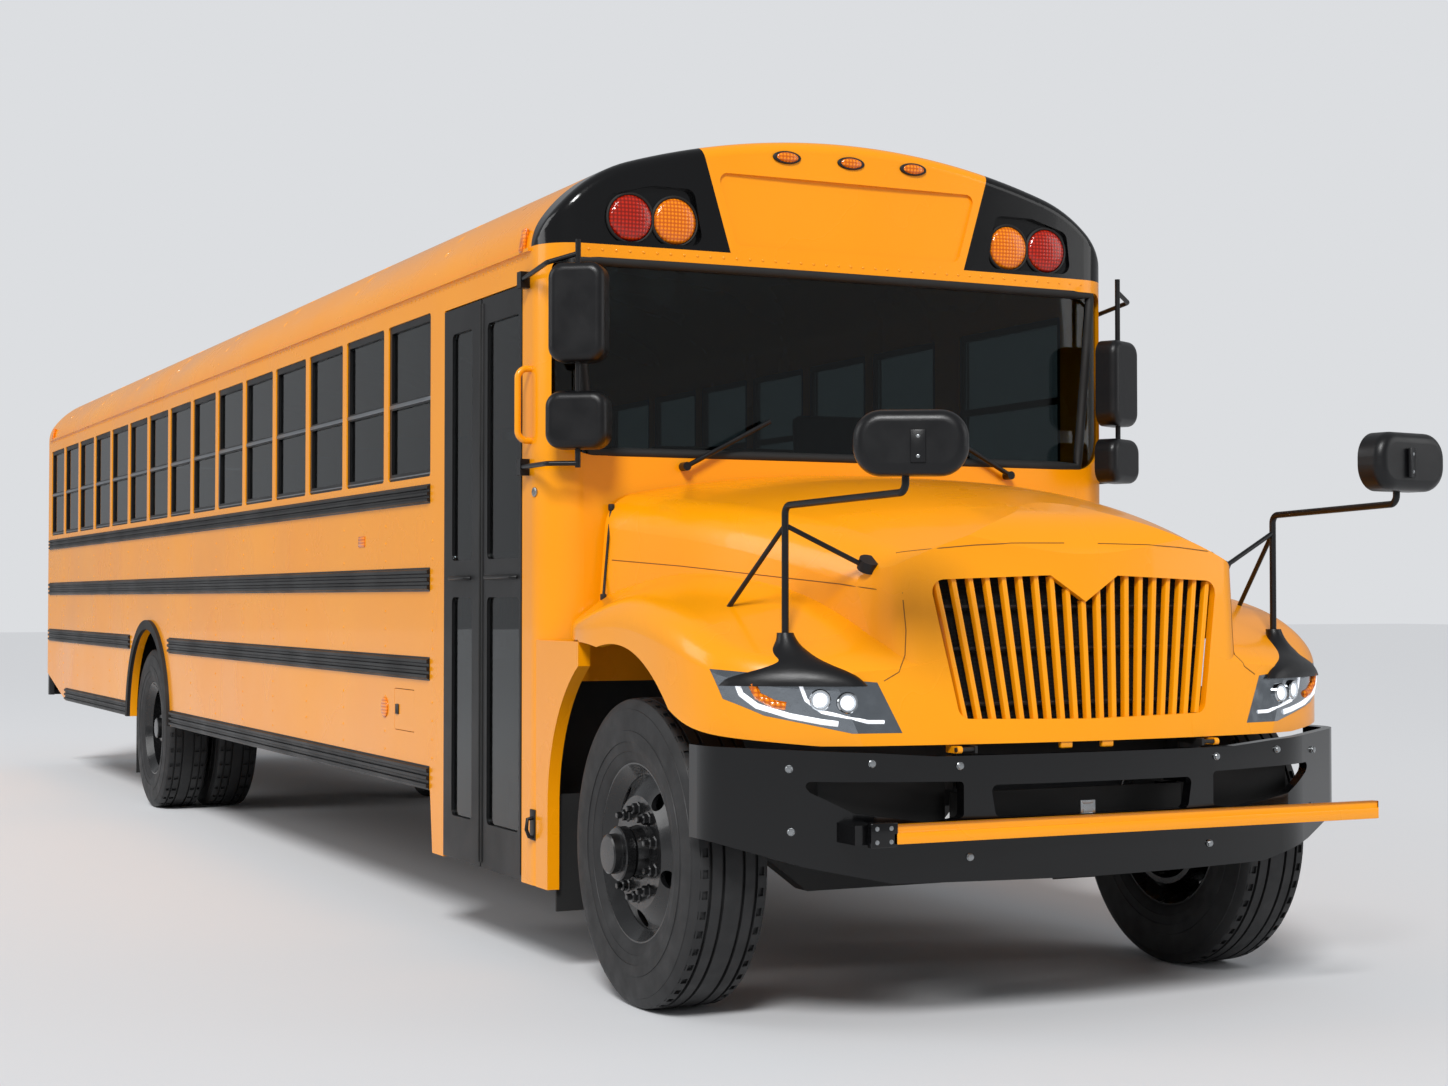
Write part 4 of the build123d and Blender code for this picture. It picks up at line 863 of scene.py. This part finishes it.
def postRivets():
    # places along and up of the vertical rows on the side panels, at each body post
    spots = []
    for k in range(rivets["posts"]):
        for low, high in rivets["bands"]:
            for j in range(int((high - low) // rivets["bandStep"]) + 1):
                z = low + rivets["bandInset"] + j * rivets["bandStep"]
                if z <= high:
                    spots.append((rivets["postY"] + rivets["postPitch"] * k, z))
    return spots


def makeSideRivets():
    spots = []
    archY, archZ, archRadius = rivets["arch"]
    fuelY1, fuelY2, fuelZ1, fuelZ2 = rivets["fuelDoor"]
    skinX, play = rivets["skin"]
    for side, node in ((-1, "side_wall_right"), (1, "side_wall_left")):
        for y, z in postRivets():
            nearArch = (y - archY) ** 2 + (z - archZ) ** 2 < archRadius**2
            nearFuel = side < 0 and fuelY1 < y < fuelY2 and fuelZ1 < z < fuelZ2
            if nearArch or nearFuel:
                continue
            start, way = at(side * beside, y, z), Vector((-side, 0, 0))
            hit, point, normal, _ = nodes[node].ray_cast(start, way)
            if hit and abs(abs(point.x) - skinX) < play:
                spots.append(facing(point, normal))
    piece = joined(copies(turned(fittings["rivet"], 6), spots))
    done(piece, "sideRivets", "busYellowEnamel", "body", 50)
    print("side rivets:", len(spots))


seams = {
    "radius": 1.6,
    # points of the photograph along the open joints between the hood's mouldings
    "lines": (
        ((896, 553), (930, 549), (975, 545), (1020, 543), (1064, 543)),
        ((612, 560), (680, 566), (760, 575), (840, 584), (903, 593)),
        ((903, 600), (906, 630), (905, 655), (899, 672), (884, 681)),
    ),
}


def makeSeams():
    # each joint is a thin dark line sunk half into the paint
    made = []
    for points in seams["lines"]:
        spots = [seen("hood", u, v)[0] for u, v in points]
        fine = [nodes["hood"].closest_point_on_mesh(p)[1] for p in divided(spots, 5)[:-1]]
        fine.append(spots[-1])
        made.append(tube(fine, seams["radius"], 6))
        made.append(tube([mirrored(p) for p in fine], seams["radius"], 6))
    done(joined(made), "hoodSeams", "seamShadow", "hood")


sash = {
    "firstY": 1217,
    "pitch": 647,
    "windows": 15,
    "x": (1211.5, 1216),
    "rails": ((4, 578), (2149, 2165), 1.5),  # along, up, rounding
    "sill": ((4, 578), (1846, 1852), 1.0),
    "framed": 5,  # the window with a silver frame, counted from 0
    "frame": (((3, 14), (1850, 2155), 1.5), ((568, 579), (1850, 2155), 1.5)),
}


def sashStrips(strips):
    # strips of the first window, on the bus's left
    y, made = sash["firstY"], []
    for (a, b), up, rounding in strips:
        made.append(boxAt(sash["x"], (y + a, y + b), up, rounding))
    return joined(made)


def makeSashRails():
    steps = [Matrix.Translation((0, sash["pitch"] * i / 1000, 0)) for i in range(sash["windows"])]
    pieces = copies(sashStrips((sash["rails"], sash["sill"])), onBothSides(steps))
    pieces += copies(sashStrips(sash["frame"]), onBothSides([steps[sash["framed"]]]))
    done(joined(pieces), "sashRails", "anodisedAluminium", "body", 30)


windscreenSeal = {
    "corners": ((-1071, 1844), (1071, 1844), (1142, 2566), (-1142, 2566)),
    "steps": 24,
    "narrower": 0.978,
    "towards": (2205, 0.045),  # drawn in towards this height by this part
    "raysFrom": -700,
    "radius": 19.0,
    "proud": 0.002,
}


def makeWindscreenSeal():
    points = []
    corners = windscreenSeal["corners"]
    steps = windscreenSeal["steps"]
    middleZ, part = windscreenSeal["towards"]
    for (x1, z1), (x2, z2) in zip(corners, corners[1:] + corners[:1]):
        for i in range(steps):
            x = (x1 + (x2 - x1) * i / steps) * windscreenSeal["narrower"]
            z = z1 + (z2 - z1) * i / steps
            z += (middleZ - z) * part
            point, _ = seat("windshield", (x, windscreenSeal["raysFrom"], z), (0, 1, 0))
            points.append(Vector((x / 1000, point.y - windscreenSeal["proud"], z / 1000)))
    piece = tube(points, windscreenSeal["radius"], 10, cyclic=True)
    done(piece, "windscreenSeal", "epdmSealRubber", "body", 50)


entryDoor = {
    "grips": {"front": (205, 500), "rear": (720, 920)},  # ends along the bus
    "gripZ": 1414,
    "gripX": (-1218, -1240),
    "gripBend": 12,
    "gripRadius": 8.0,
    # across, along, up, rounding
    "frontSeal": ((-1224, -1200), (571, 584), (330, 2465), 3.0),
    "frontEdge": ((-1222, -1219), (150, 158), (330, 2465), 1.0),
    "rearSeal": ((-1224, -1200), (600, 613), (330, 2465), 3.0),
}


def makeDoorFittings():
    inX, outX = entryDoor["gripX"]
    z, bend = entryDoor["gripZ"], entryDoor["gripBend"]
    for name, (a, b) in entryDoor["grips"].items():
        line = [at(inX, a, z), at(outX, a + bend, z), at(outX, b - bend, z), at(inX, b, z)]
        grip = tube(line, entryDoor["gripRadius"], 10)
        grip = done(grip, "leafGrip_" + name, "satinBlackPowderCoat", "entry_" + name, 50)
    front = joined([boxAt(*entryDoor["frontSeal"]), boxAt(*entryDoor["frontEdge"])])
    done(front, "leafSeal_front", "epdmSealRubber", "entry_front", 40)
    rear = boxAt(*entryDoor["rearSeal"])
    done(rear, "leafSeal_rear", "epdmSealRubber", "entry_rear", 40)


nose = {"y": -1688.0, "bow": 7200.0, "lean": 0.075, "foot": 889.0}


def noseY(x, z):
    # the bowed and leaning face of the hood's nose
    return nose["y"] + x * x / nose["bow"] + nose["lean"] * (z - nose["foot"])


grille = {
    "bars": 9,  # each side of the middle one
    "topHalf": 545.0,
    "footHalf": 462.0,
    "beakZ": 1328.0,  # top of the middle bar, under the hood's point
    "shoulder": (127.0, 83.0),  # how far out the tops rise, and by how much
    "droop": 16.0,  # how much they fall again to the outer bars
    "footZ": (955.0, 8.0),  # at the middle, and the rise to the outer bars
    "outerShorter": (4.0, 6.0),  # the outermost bars, at foot and top
    "half": 9.0,
    "depth": 24.0,
    "setback": 10.0,
    "round": 0.006,
    "steps": 7,
    "rails": ((1010, 468), (1180, 500), (1310, 524)),  # height, half width
    "railBehind": 44.0,
    "railSteps": 24,
    "railRadius": 7.0,
}


def makeGrilleBar(i):
    # a slim upright bar with a rounded front, leaning out from foot to top
    outermost = abs(i) == grille["bars"]
    share = i / (grille["bars"] + 0.5)
    topX, footX = share * grille["topHalf"], share * grille["footHalf"]
    shoulderX, shoulderRise = grille["shoulder"]
    past = max(abs(topX) - shoulderX, 0) / (grille["topHalf"] - shoulderX)
    topZ = grille["beakZ"] + shoulderRise * min(abs(topX), shoulderX) / shoulderX
    topZ -= grille["droop"] * past
    footZ = grille["footZ"][0] + grille["footZ"][1] * abs(share)
    if outermost:
        footZ += grille["outerShorter"][0]
        topZ -= grille["outerShorter"][1]
    bar = block((-0.5, -0.5, 0), (0.5, 0.5, 1), 0)
    openEdit(bar)
    for k in range(1, grille["steps"]):
        bpy.ops.mesh.select_all(action="SELECT")
        bpy.ops.mesh.bisect(plane_co=(0, 0, k / grille["steps"]), plane_no=(0, 0, 1))
    closeEdit()
    for vertex in bar.data.vertices:
        across, deep, part = vertex.co
        z = footZ + (topZ - footZ) * part
        x = footX + (topX - footX) * part
        y = noseY(x, z) + grille["setback"] + grille["depth"] * (deep + 0.5)
        vertex.co = at(x + across * 2 * grille["half"], y, z)

    def frontCorner(edge):
        middle = (edge.verts[0].co + edge.verts[1].co) / 2
        z = middle.z * 1000
        x = footX + (topX - footX) * (z - footZ) / (topZ - footZ)
        front = at(x, noseY(x, z) + grille["setback"] + 3, z).y
        upright = abs(edge.verts[0].co.z - edge.verts[1].co.z) > 0.02
        return upright and middle.y < front and abs(middle.x - x / 1000) > 0.005

    openEdit(bar)
    pickEdges(bar, frontCorner)
    bpy.ops.mesh.bevel(offset=grille["round"], segments=3, affect="EDGES")
    closeEdit()
    return bar


def makeGrille():
    # the fan of bars on three dark cross rails
    made = [makeGrilleBar(i) for i in range(-grille["bars"], grille["bars"] + 1)]
    bars = done(joined(made), "grilleBars", "busYellowEnamel", "hood", 40)
    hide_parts("grille")
    rails = []
    for z, half in grille["rails"]:
        points = []
        for j in range(grille["railSteps"] + 1):
            x = -half + 2 * half * j / grille["railSteps"]
            points.append(at(x, noseY(x, z) + grille["railBehind"], z))
        rails.append(tube(points, grille["railRadius"], 8))
    done(joined(rails), "grilleRails", "satinBlackPowderCoat", "hood", 50)


screen = {"foot": (945.0, 478.0), "top": (1418.0, 560.0), "behind": 68.0, "columns": 24, "rows": 6}


def makeRadiatorScreen():
    # dark mesh behind the grille's bars, bowed and leaning as they are
    bpy.ops.mesh.primitive_grid_add(
        x_subdivisions=screen["columns"], y_subdivisions=screen["rows"], size=2
    )
    piece = bpy.context.object
    (footZ, footHalf), (topZ, topHalf) = screen["foot"], screen["top"]
    for vertex in piece.data.vertices:
        part = (vertex.co.y + 1) / 2
        z = footZ + (topZ - footZ) * part
        x = vertex.co.x * (footHalf + (topHalf - footHalf) * part)
        vertex.co = at(x, noseY(x, z) + screen["behind"], z)
    walled(piece, 0.003, 1.0)
    openEdit(piece)
    faceOutwards()
    closeEdit()
    done(piece, "radiatorScreen", "radiatorMesh", "hood")


gate = {
    "facePoint": (200, -3000, 635),  # a ray back along the bus from here meets the bar's face
    "x": (-755.0, 1096.0),
    "z": (606.0, 664.0),
    "depth": 30.0,
    "fold": 640.0,
    "step": 9.0,
    "edge": 0.0022,
    "clampX": (-830, -740),
    "clampZ": (598, 672),
    "boltX": (-812, -764),
    "boltZ": (615, 655),
    "boltSunk": 0.2,
    "bolt": ((0, 7), (1.2, 7), (1.7, 5), (2.0, 2)),
}


def makeGate():
    # the crossing gate: a folded bar, its upper flange set back, in a black clamp with four bolts
    face, _ = seat("crossing_gate", gate["facePoint"], (0, 1, 0))
    front = (face.y - cornerY) * 1000
    back = front + gate["depth"]
    bar = boxAt(gate["x"], (front, back), gate["z"], 0)
    openEdit(bar)
    bpy.ops.mesh.bisect(plane_co=at(0, 0, gate["fold"]), plane_no=(0, 0, 1))
    pickFaces(bar, lambda c, n: n.y < -0.9 and c.z > gate["fold"] / 1000)
    setBack = (0, gate["step"] / 1000, 0)
    bpy.ops.mesh.extrude_region_move(TRANSFORM_OT_translate={"value": setBack})
    bpy.ops.mesh.select_all(action="SELECT")
    bpy.ops.mesh.remove_doubles(threshold=0.0001)
    faceOutwards()
    bpy.ops.mesh.bevel(offset=gate["edge"], segments=2, affect="EDGES")
    closeEdit()
    bar = done(bar, "gateBar", "busYellowEnamel", "gate", 30)
    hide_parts("crossing_gate")
    clamp = boxAt(gate["clampX"], (front, back), gate["clampZ"], 4.0, 3)
    done(clamp, "gateClamp", "glossBlackEnamel", "gate", 30)
    spots = []
    for x in gate["boltX"]:
        for z in gate["boltZ"]:
            spots.append(facing(at(x, front + gate["boltSunk"], z), (0, -1, 0)))
    bolts = joined(copies(turned(gate["bolt"], 16), spots))
    done(bolts, "gateBolts", "zincPlatedSteel", "gate", 30)


bumperInside = {
    "middlePlate": ((-440, 440), (-1556, -1548), (500, 734), 3.0),
    # at each end: a plate facing forward and one facing out
    "endPlates": (
        ((442, 890), (-1530, -1522), (606, 830), 3.0),
        ((884, 892), (-1530, -1330), (616, 830), 3.0),
    ),
    "plateBracket": (1089, 816),  # point of the photograph
    "bracketHalf": 0.028,
    "bracketY": (0.004, 0.012),
    "bracketHeight": 0.05,
}


def makeBumperInside():
    # splash plates and the plate bracket seen through the bumper's openings
    plates = [boxAt(*bumperInside["middlePlate"])]
    ends = joined([boxAt(*plate) for plate in bumperInside["endPlates"]])
    plates += copies(ends, onBothSides([Matrix.Identity(4)]))
    plates = done(joined(plates), "bumperSplashPlates", "chassisBlackPaint", "body")
    point, _ = seen("front_bumper", *bumperInside["plateBracket"])
    half, height = bumperInside["bracketHalf"], bumperInside["bracketHeight"]
    near, far = bumperInside["bracketY"]
    bracket = block(point + Vector((-half, near, 0)), point + Vector((half, far, height)), 3)
    sunk(bracket, lambda c, n: n.y < -0.9, 0.008, 0.002)
    done(bracket, "plateBracket", "zincPlatedSteel", "body")


hoodFittings = {
    # points of the photograph
    "tabs": ((1068, 737), (1109, 736)),
    "strap": ((612, 508), (609, 540), (606, 575), (604, 598)),
    "tabSize": (0.044, 0.02, 0.034),
    "tabFoot": 0.868,
    "strapRadius": 5.0,
    "strapProud": 0.004,
    "strapEnd": (0.009, 0.012, 0.012),
}


def makeHoodFittings():
    tabs = []
    for u, v in hoodFittings["tabs"]:
        point, _ = seen("hood", u, v)
        size = Vector(hoodFittings["tabSize"])
        low = Vector((point.x - size.x / 2, point.y + 0.004, hoodFittings["tabFoot"]))
        tabs.append(block(low, low + size, 5, 3))
    done(joined(tabs), "hoodTabs", "busYellowEnamel", "hood")
    right = []
    for u, v in hoodFittings["strap"]:
        point, normal = seen("hood", u, v)
        right.append(point + normal * hoodFittings["strapProud"])
    straps = []
    half = Vector(hoodFittings["strapEnd"])
    for spots in (right, [mirrored(p) for p in right]):
        straps.append(tube(spots, hoodFittings["strapRadius"], 8))
        for p in (spots[0], spots[-1]):
            straps.append(block(p - half, p + half, 4, 2))
    done(joined(straps), "hoodStraps", "epdmSealRubber", "hood", 50)


mirrorPlate = {
    "spot": (918, 446),  # point of the photograph
    "low": (-0.022, -0.046, -0.004),
    "high": (0.022, 0.046, 0.007),
    "boltsY": (-0.028, 0.028),
}


def makeMirrorBrackets():
    point, normal = seen("crossview_mirrors", *mirrorPlate["spot"])
    places = [facing(point, normal), facing(mirrored(point), mirrored(normal))]
    plates = copies(block(mirrorPlate["low"], mirrorPlate["high"], 3), places)
    heads = []
    for place in places:
        for y in mirrorPlate["boltsY"]:
            heads.append(place @ Matrix.Translation((0, y, mirrorPlate["high"][2])))
    bolts = copies(turned(fittings["rivet"], 12), heads)
    done(joined(plates), "mirrorPlates", "texturedBlackAbs", "hood")
    done(joined(bolts), "mirrorBolts", "zincPlatedSteel", "hood")


markers = {
    "sideY": (130, 10760),
    "sideZ": 2640,
    "low": (-0.02, -0.046, -0.004),
    "high": (0.02, 0.046, 0.016),
    "round": ((0, 44), (4, 44), (6, 41), (7, 35), (7.5, 8)),
    "roundSpot": (1832, 866),  # along and up
    "plate": (362, 542),  # point of the photograph
    "plateHalf": (0.004, 0.048, 0.024),
    "latchSpot": (1652, 866),
    "latchLow": (0.006, 0.02, 0.022),
    "latchHigh": (0.003, 0.02, 0.022),
}


def makeMarkers():
    # small amber side markers, reflectors on the side walls and the black fuel latch
    places = []
    for side in (-1, 1):
        for y in markers["sideY"]:
            places.append(facing(*seat("roof", (side * beside, y, markers["sideZ"]), (-side, 0, 0))))
    lenses = copies(block(markers["low"], markers["high"], 9, 4), places)
    done(joined(lenses), "sideMarkers", "amberAcrylicLens", "body", 50)
    places = []
    for side, node in ((-1, "side_wall_right"), (1, "side_wall_left")):
        places.append(facing(*seat(node, (side * beside, *markers["roundSpot"]), (-side, 0, 0))))
    discs = copies(turned(markers["round"], 36), places)
    done(joined(discs), "roundReflectors", "amberAcrylicLens", "body", 40)
    point, _ = seen("side_wall_right", *markers["plate"])
    half = Vector(markers["plateHalf"])
    plates = [block(p - half, p + half, 3) for p in (point, mirrored(point))]
    done(joined(plates), "sideReflectors", "amberAcrylicLens", "body", 40)
    point, _ = seat("fuel_door", (-beside, *markers["latchSpot"]), (1, 0, 0))
    latch = block(point - Vector(markers["latchLow"]), point + Vector(markers["latchHigh"]), 4, 2)
    sunk(latch, lambda c, n: n.x < -0.9, 0.006, 0.003)
    done(latch, "fuelLatch", "texturedBlackAbs", "fuel_lid")


doorHook = {
    "spot": (533, 826),  # points of the photograph
    "lockSpot": (535, 492),
    "plateLow": (-0.006, -0.03, -0.05),
    "plateHigh": (0.002, 0.02, 0.06),
    "arm": (
        (-0.004, -0.01, 0.03), (-0.026, -0.012, 0.026), (-0.03, -0.012, -0.01),
        (-0.02, -0.012, -0.036), (-0.004, -0.012, -0.04),
    ),
    "armRadius": 7.0,
    "lock": ((0, 17), (4, 17), (6, 14), (6, 9), (9, 8), (9.5, 3)),
}


def makeDoorHook():
    # the latch that holds the open door's foot, and the door's lock
    point, _ = seen("cowl", *doorHook["spot"])
    plate = block(point + Vector(doorHook["plateLow"]), point + Vector(doorHook["plateHigh"]), 3)
    arm = tube([point + Vector(step) for step in doorHook["arm"]], doorHook["armRadius"], 8)
    hook = done(joined([plate, arm]), "doorFootHook", "satinBlackPowderCoat", "body", 50)
    place = facing(*seen("cowl", *doorHook["lockSpot"]))
    lock = copies(turned(doorHook["lock"], 24), [place])[0]
    done(lock, "doorLock", "zincPlatedSteel", "body")


rearDoor = {
    "sealY": 11089,
    # the seal's line: across, up
    "seal": (
        (-366, 1130), (366, 1130), (370, 1140), (370, 2392),
        (360, 2404), (-360, 2404), (-372, 2392), (-372, 1140),
    ),
    "sealRadius": 6.0,
    # the handle's line at its height: across, along
    "handle": (
        (-300, 11090), (-300, 11118), (-292, 11126), (-170, 11126), (-160, 11118), (-160, 11090),
    ),
    "handleZ": 1700,
    "handleRadius": 8.0,
    "handleBase": ((-318, -282), (11088, 11098), (1660, 1740), 5.0, 3),
    "hingeZ": (1260, 1760, 2260),
    "hingeHalf": 45,
    "leafX": (300, 372),
    "leafY": (11089, 11095),
    "barrel": ((0, 9), (2, 10), (88, 10), (90, 9), (91, 4)),
    "barrelAt": (366, 11093),
    "plate": ((-152, 152), (11090, 11095), (1004, 1080), 4.0),
}


def makeRearFittings():
    line = [at(x, rearDoor["sealY"], z) for x, z in rearDoor["seal"]]
    seal = tube(line, rearDoor["sealRadius"], 8, cyclic=True)
    done(seal, "rearDoorSeal", "epdmSealRubber", "rear_exit", 50)
    line = [at(x, y, rearDoor["handleZ"]) for x, y in rearDoor["handle"]]
    handle = tube(line, rearDoor["handleRadius"], 10)
    base = boxAt(*rearDoor["handleBase"])
    handle = done(joined([handle, base]), "rearDoorHandle", "satinBlackPowderCoat", "rear_exit", 50)
    low, half = rearDoor["hingeZ"][0], rearDoor["hingeHalf"]
    leaf = boxAt(rearDoor["leafX"], rearDoor["leafY"], (low - half, low + half), 3.0)
    foot = Matrix.Translation(at(*rearDoor["barrelAt"], low - half))
    hinge = joined([leaf] + copies(turned(rearDoor["barrel"], 18), [foot]))
    lifts = [Matrix.Translation((0, 0, (z - low) / 1000)) for z in rearDoor["hingeZ"]]
    hinges = joined(copies(hinge, lifts))
    done(hinges, "rearDoorHinges", "zincPlatedSteel", "rear_exit", 40)
    plate = boxAt(*rearDoor["plate"])
    sunk(plate, lambda c, n: n.y > 0.9, 0.008, 0.002)
    done(plate, "rearPlateHolder", "satinBlackPowderCoat", "body")


roofSeams = {
    "firstY": 1184.5,
    "pitch": 1294,
    "count": 8,
    "inside": 1900,  # height from which the roof's arch is met
    "reach": 62,  # degrees each side of upright
    "steps": 32,
    "radius": 2.2,
    "crownBelow": 0.0023,  # metres under the body's highest point
}


def makeRoofSeams():
    # lapped joints of the roof sheets
    made = []
    for i in range(roofSeams["count"]):
        y = roofSeams["firstY"] + roofSeams["pitch"] * i
        points = []
        for j in range(roofSeams["steps"] + 1):
            angle = radians(roofSeams["reach"] * (2 * j / roofSeams["steps"] - 1))
            way = Vector((-sin(angle), 0, -cos(angle)))
            start = at(0, y, roofSeams["inside"]) - way * 3.0
            hit, point, _, _ = nodes["roof"].ray_cast(start, way)
            if hit:
                # at the crown the joint lies level with the sheet
                top = cadBox[1][2] - roofSeams["crownBelow"]
                points.append(Vector((point.x, point.y, min(point.z, top))))
        made.append(tube(points, roofSeams["radius"], 6))
    done(joined(made), "roofSeams", "busYellowEnamel", "body", 50)


padding = {"round": 30, "crownInset": 0.45}


def cushion(low, high, crown):
    # a padded form: rounded all over, its broad faces crowned
    piece = block(low, high, padding["round"], 3)
    openEdit(piece)
    size = high - low
    thin = min(range(3), key=lambda i: size[i])
    for way in (-1, 1):
        pickFaces(piece, lambda c, n: n[thin] * way > 0.99)
        bpy.ops.mesh.inset(thickness=min(size) * padding["crownInset"])
        rise = [0, 0, 0]
        rise[thin] = way * crown / 1000
        bpy.ops.transform.translate(value=rise)
    closeEdit()
    smooth = piece.modifiers.new("round", "SUBSURF")
    smooth.levels = smooth.render_levels = 1
    bpy.ops.object.modifier_apply(modifier="round")
    return piece


def padAndBack(seatValues):
    low, high, crown = seatValues["pad"]
    pad = cushion(at(*low), at(*high), crown)
    low, high, crown = seatValues["back"]
    back = cushion(at(*low), at(*high), crown)
    turningPoint, degrees = seatValues["lean"]
    back.data.transform(leaning(at(*turningPoint), degrees))
    return [pad, back]


bench = {
    "rows": 12,
    "first": 1560.0,
    "pitch": 745.0,
    "pad": ((156, 2, 1404), (1134, 440, 1528), 10),  # low and high corner, crown
    "back": ((156, 440, 1420), (1134, 530, 2062), 8),
    "lean": ((0, 485, 1400), -7.0),  # where the back turns, and degrees
    "legX": (190, 1060),
    "legY": (70, 360),
    "legSize": 28,
    "legTop": 1412,
    "reach": (60, 400),  # along the bus, past which a wheel housing is clear of the legs
    "floor": 1091,
    "house": (6325, 7575, 545, 1206),  # wheel housing: along from, to, across from, top
}


def makeBenches():
    pad, back = padAndBack(bench)
    rowsY = [bench["first"] + bench["pitch"] * i for i in range(bench["rows"])]
    places = onBothSides([Matrix.Translation((0, y / 1000, 0)) for y in rowsY])
    cushions = done(joined(copies(pad, places)), "benchCushions", "seatVinyl", "body", 60)
    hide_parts("bench_seats")
    backs = done(joined(copies(back, places)), "benchBacks", "seatVinyl", "body", 60)
    legs = []
    houseY1, houseY2, houseX, houseTop = bench["house"]
    fore, aft = bench["reach"]
    size = bench["legSize"]
    for y in rowsY:
        overHouse = y + aft > houseY1 and y + fore < houseY2
        for x in bench["legX"]:
            foot = houseTop if overHouse and x > houseX else bench["floor"]
            for step in bench["legY"]:
                along = (y + step, y + step + size)
                leg = boxAt((x, x + size), along, (foot, bench["legTop"]), 4.0)
                legs += copies(leg, onBothSides([Matrix.Identity(4)]))
    done(joined(legs), "benchLegs", "chassisBlackPaint", "body")


driverSeat = {
    "pad": ((392, 522, 1404), (888, 998, 1520), 10),  # low and high corner, crown
    "back": ((402, 985, 1455), (878, 1075, 2140), 10),
    "lean": ((0, 1030, 1450), -8.0),
    "pillar": ((520, 760), (620, 900), (1092, 1412), 12.0, 3),
    "plinth": ((500, 780), (600, 920), (1092, 1120), 8.0, 3),
}


def makeDriverSeat():
    driver = done(joined(padAndBack(driverSeat)), "driverCushions", "seatVinyl", "body", 60)
    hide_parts("driver_seat")
    base = joined([boxAt(*driverSeat["pillar"]), boxAt(*driverSeat["plinth"])])
    done(base, "driverSeatBase", "chassisBlackPaint", "body")


light = {
    "floor": "#D9DADC",
    "floorSize": 160.0,
    "world": "#E9ECF0",
    "backdrop": "#DCDEE1",
    "worldStrength": 0.42,
    # name, kind, place, aim, metres across or degrees, watts or strength
    "lamps": (
        ("keyLight", "SUN", (-9.0, -14.0, 14.0), (0.0, 0.0, 0.0), 16.0, 2.8),
        ("sideLight", "AREA", (-16.0, 2.0, 9.0), (0.0, 0.0, 1.5), 9.0, 700.0),
        ("fillLight", "AREA", (11.0, -12.0, 6.0), (0.0, -4.0, 1.2), 7.0, 250.0),
    ),
}


def makeStage():
    bpy.ops.mesh.primitive_plane_add(size=light["floorSize"], location=(0.0, 0.0, 0.0))
    floor = bpy.context.object
    floor.name = "paleFloor"
    paper, _, _ = newMaterial("palePaper", light["floor"], 0.9, specular=0.1)
    floor.data.materials.append(paper)
    world = bpy.data.worlds.new("softStudio")
    bpy.context.scene.world = world
    world.use_nodes = True
    tree = world.node_tree
    room = tree.nodes["Background"]
    room.inputs["Color"].default_value = linear(light["world"])
    room.inputs["Strength"].default_value = light["worldStrength"]
    # the backdrop that the camera sees is the pale colour itself
    plain = {"Color": linear(light["backdrop"]), "Strength": 1.0}
    backdrop = addNode(tree, "ShaderNodeBackground", None, plain)
    ray = addNode(tree, "ShaderNodeLightPath")
    mix = addNode(tree, "ShaderNodeMixShader", None, None, {"Fac": (ray, "Is Camera Ray")})
    tree.links.new(room.outputs["Background"], mix.inputs[1])
    tree.links.new(backdrop.outputs["Background"], mix.inputs[2])
    tree.links.new(mix.outputs["Shader"], tree.nodes["World Output"].inputs["Surface"])
    for name, kind, place, aim, size, power in light["lamps"]:
        lamp = bpy.data.lights.new(name, kind)
        lamp.energy = power
        if kind == "SUN":
            lamp.angle = radians(size)
        else:
            lamp.size = size
        holder = bpy.data.objects.new(name, lamp)
        bpy.context.scene.collection.objects.link(holder)
        holder.location = place
        holder.rotation_euler = (Vector(aim) - Vector(place)).to_track_quat("-Z", "Y").to_euler()


def makeCamera():
    camera = bpy.data.cameras.new("photoView")
    camera.lens = view["lens"]
    camera.sensor_width = 36.0
    camera.sensor_fit = "HORIZONTAL"
    camera.clip_end = 400.0
    holder = bpy.data.objects.new("photoView", camera)
    bpy.context.scene.collection.objects.link(holder)
    holder.location = view["eye"]
    holder.rotation_euler = (radians(90.0 + view["rise"]), 0.0, radians(-view["turn"]))
    bpy.context.scene.camera = holder


bpy.context.scene.view_settings.view_transform = "Standard"
finishes = makeMaterials()
paintNodes()
print("materials on", len(nodes), "nodes")
makeTyres()
makeHubs()
print("tyres, hubs and nuts")
makeLampBezels()
makeLenses()
makeHeadlamps()
print("lamps")
makeBumperBolts()
makeRivets()
makeSideRivets()
makeSeams()
print("bolts, rivets and seams")
makeSashRails()
makeWindscreenSeal()
makeDoorFittings()
print("windows and doors")
makeGrille()
makeRadiatorScreen()
makeBumperInside()
makeGate()
makeHoodFittings()
makeMirrorBrackets()
makeMarkers()
makeDoorHook()
makeRearFittings()
makeRoofSeams()
print("front, side, rear and roof fittings")
makeBenches()
makeDriverSeat()
print("seats")
makeStage()
makeCamera()
print("stage and camera")
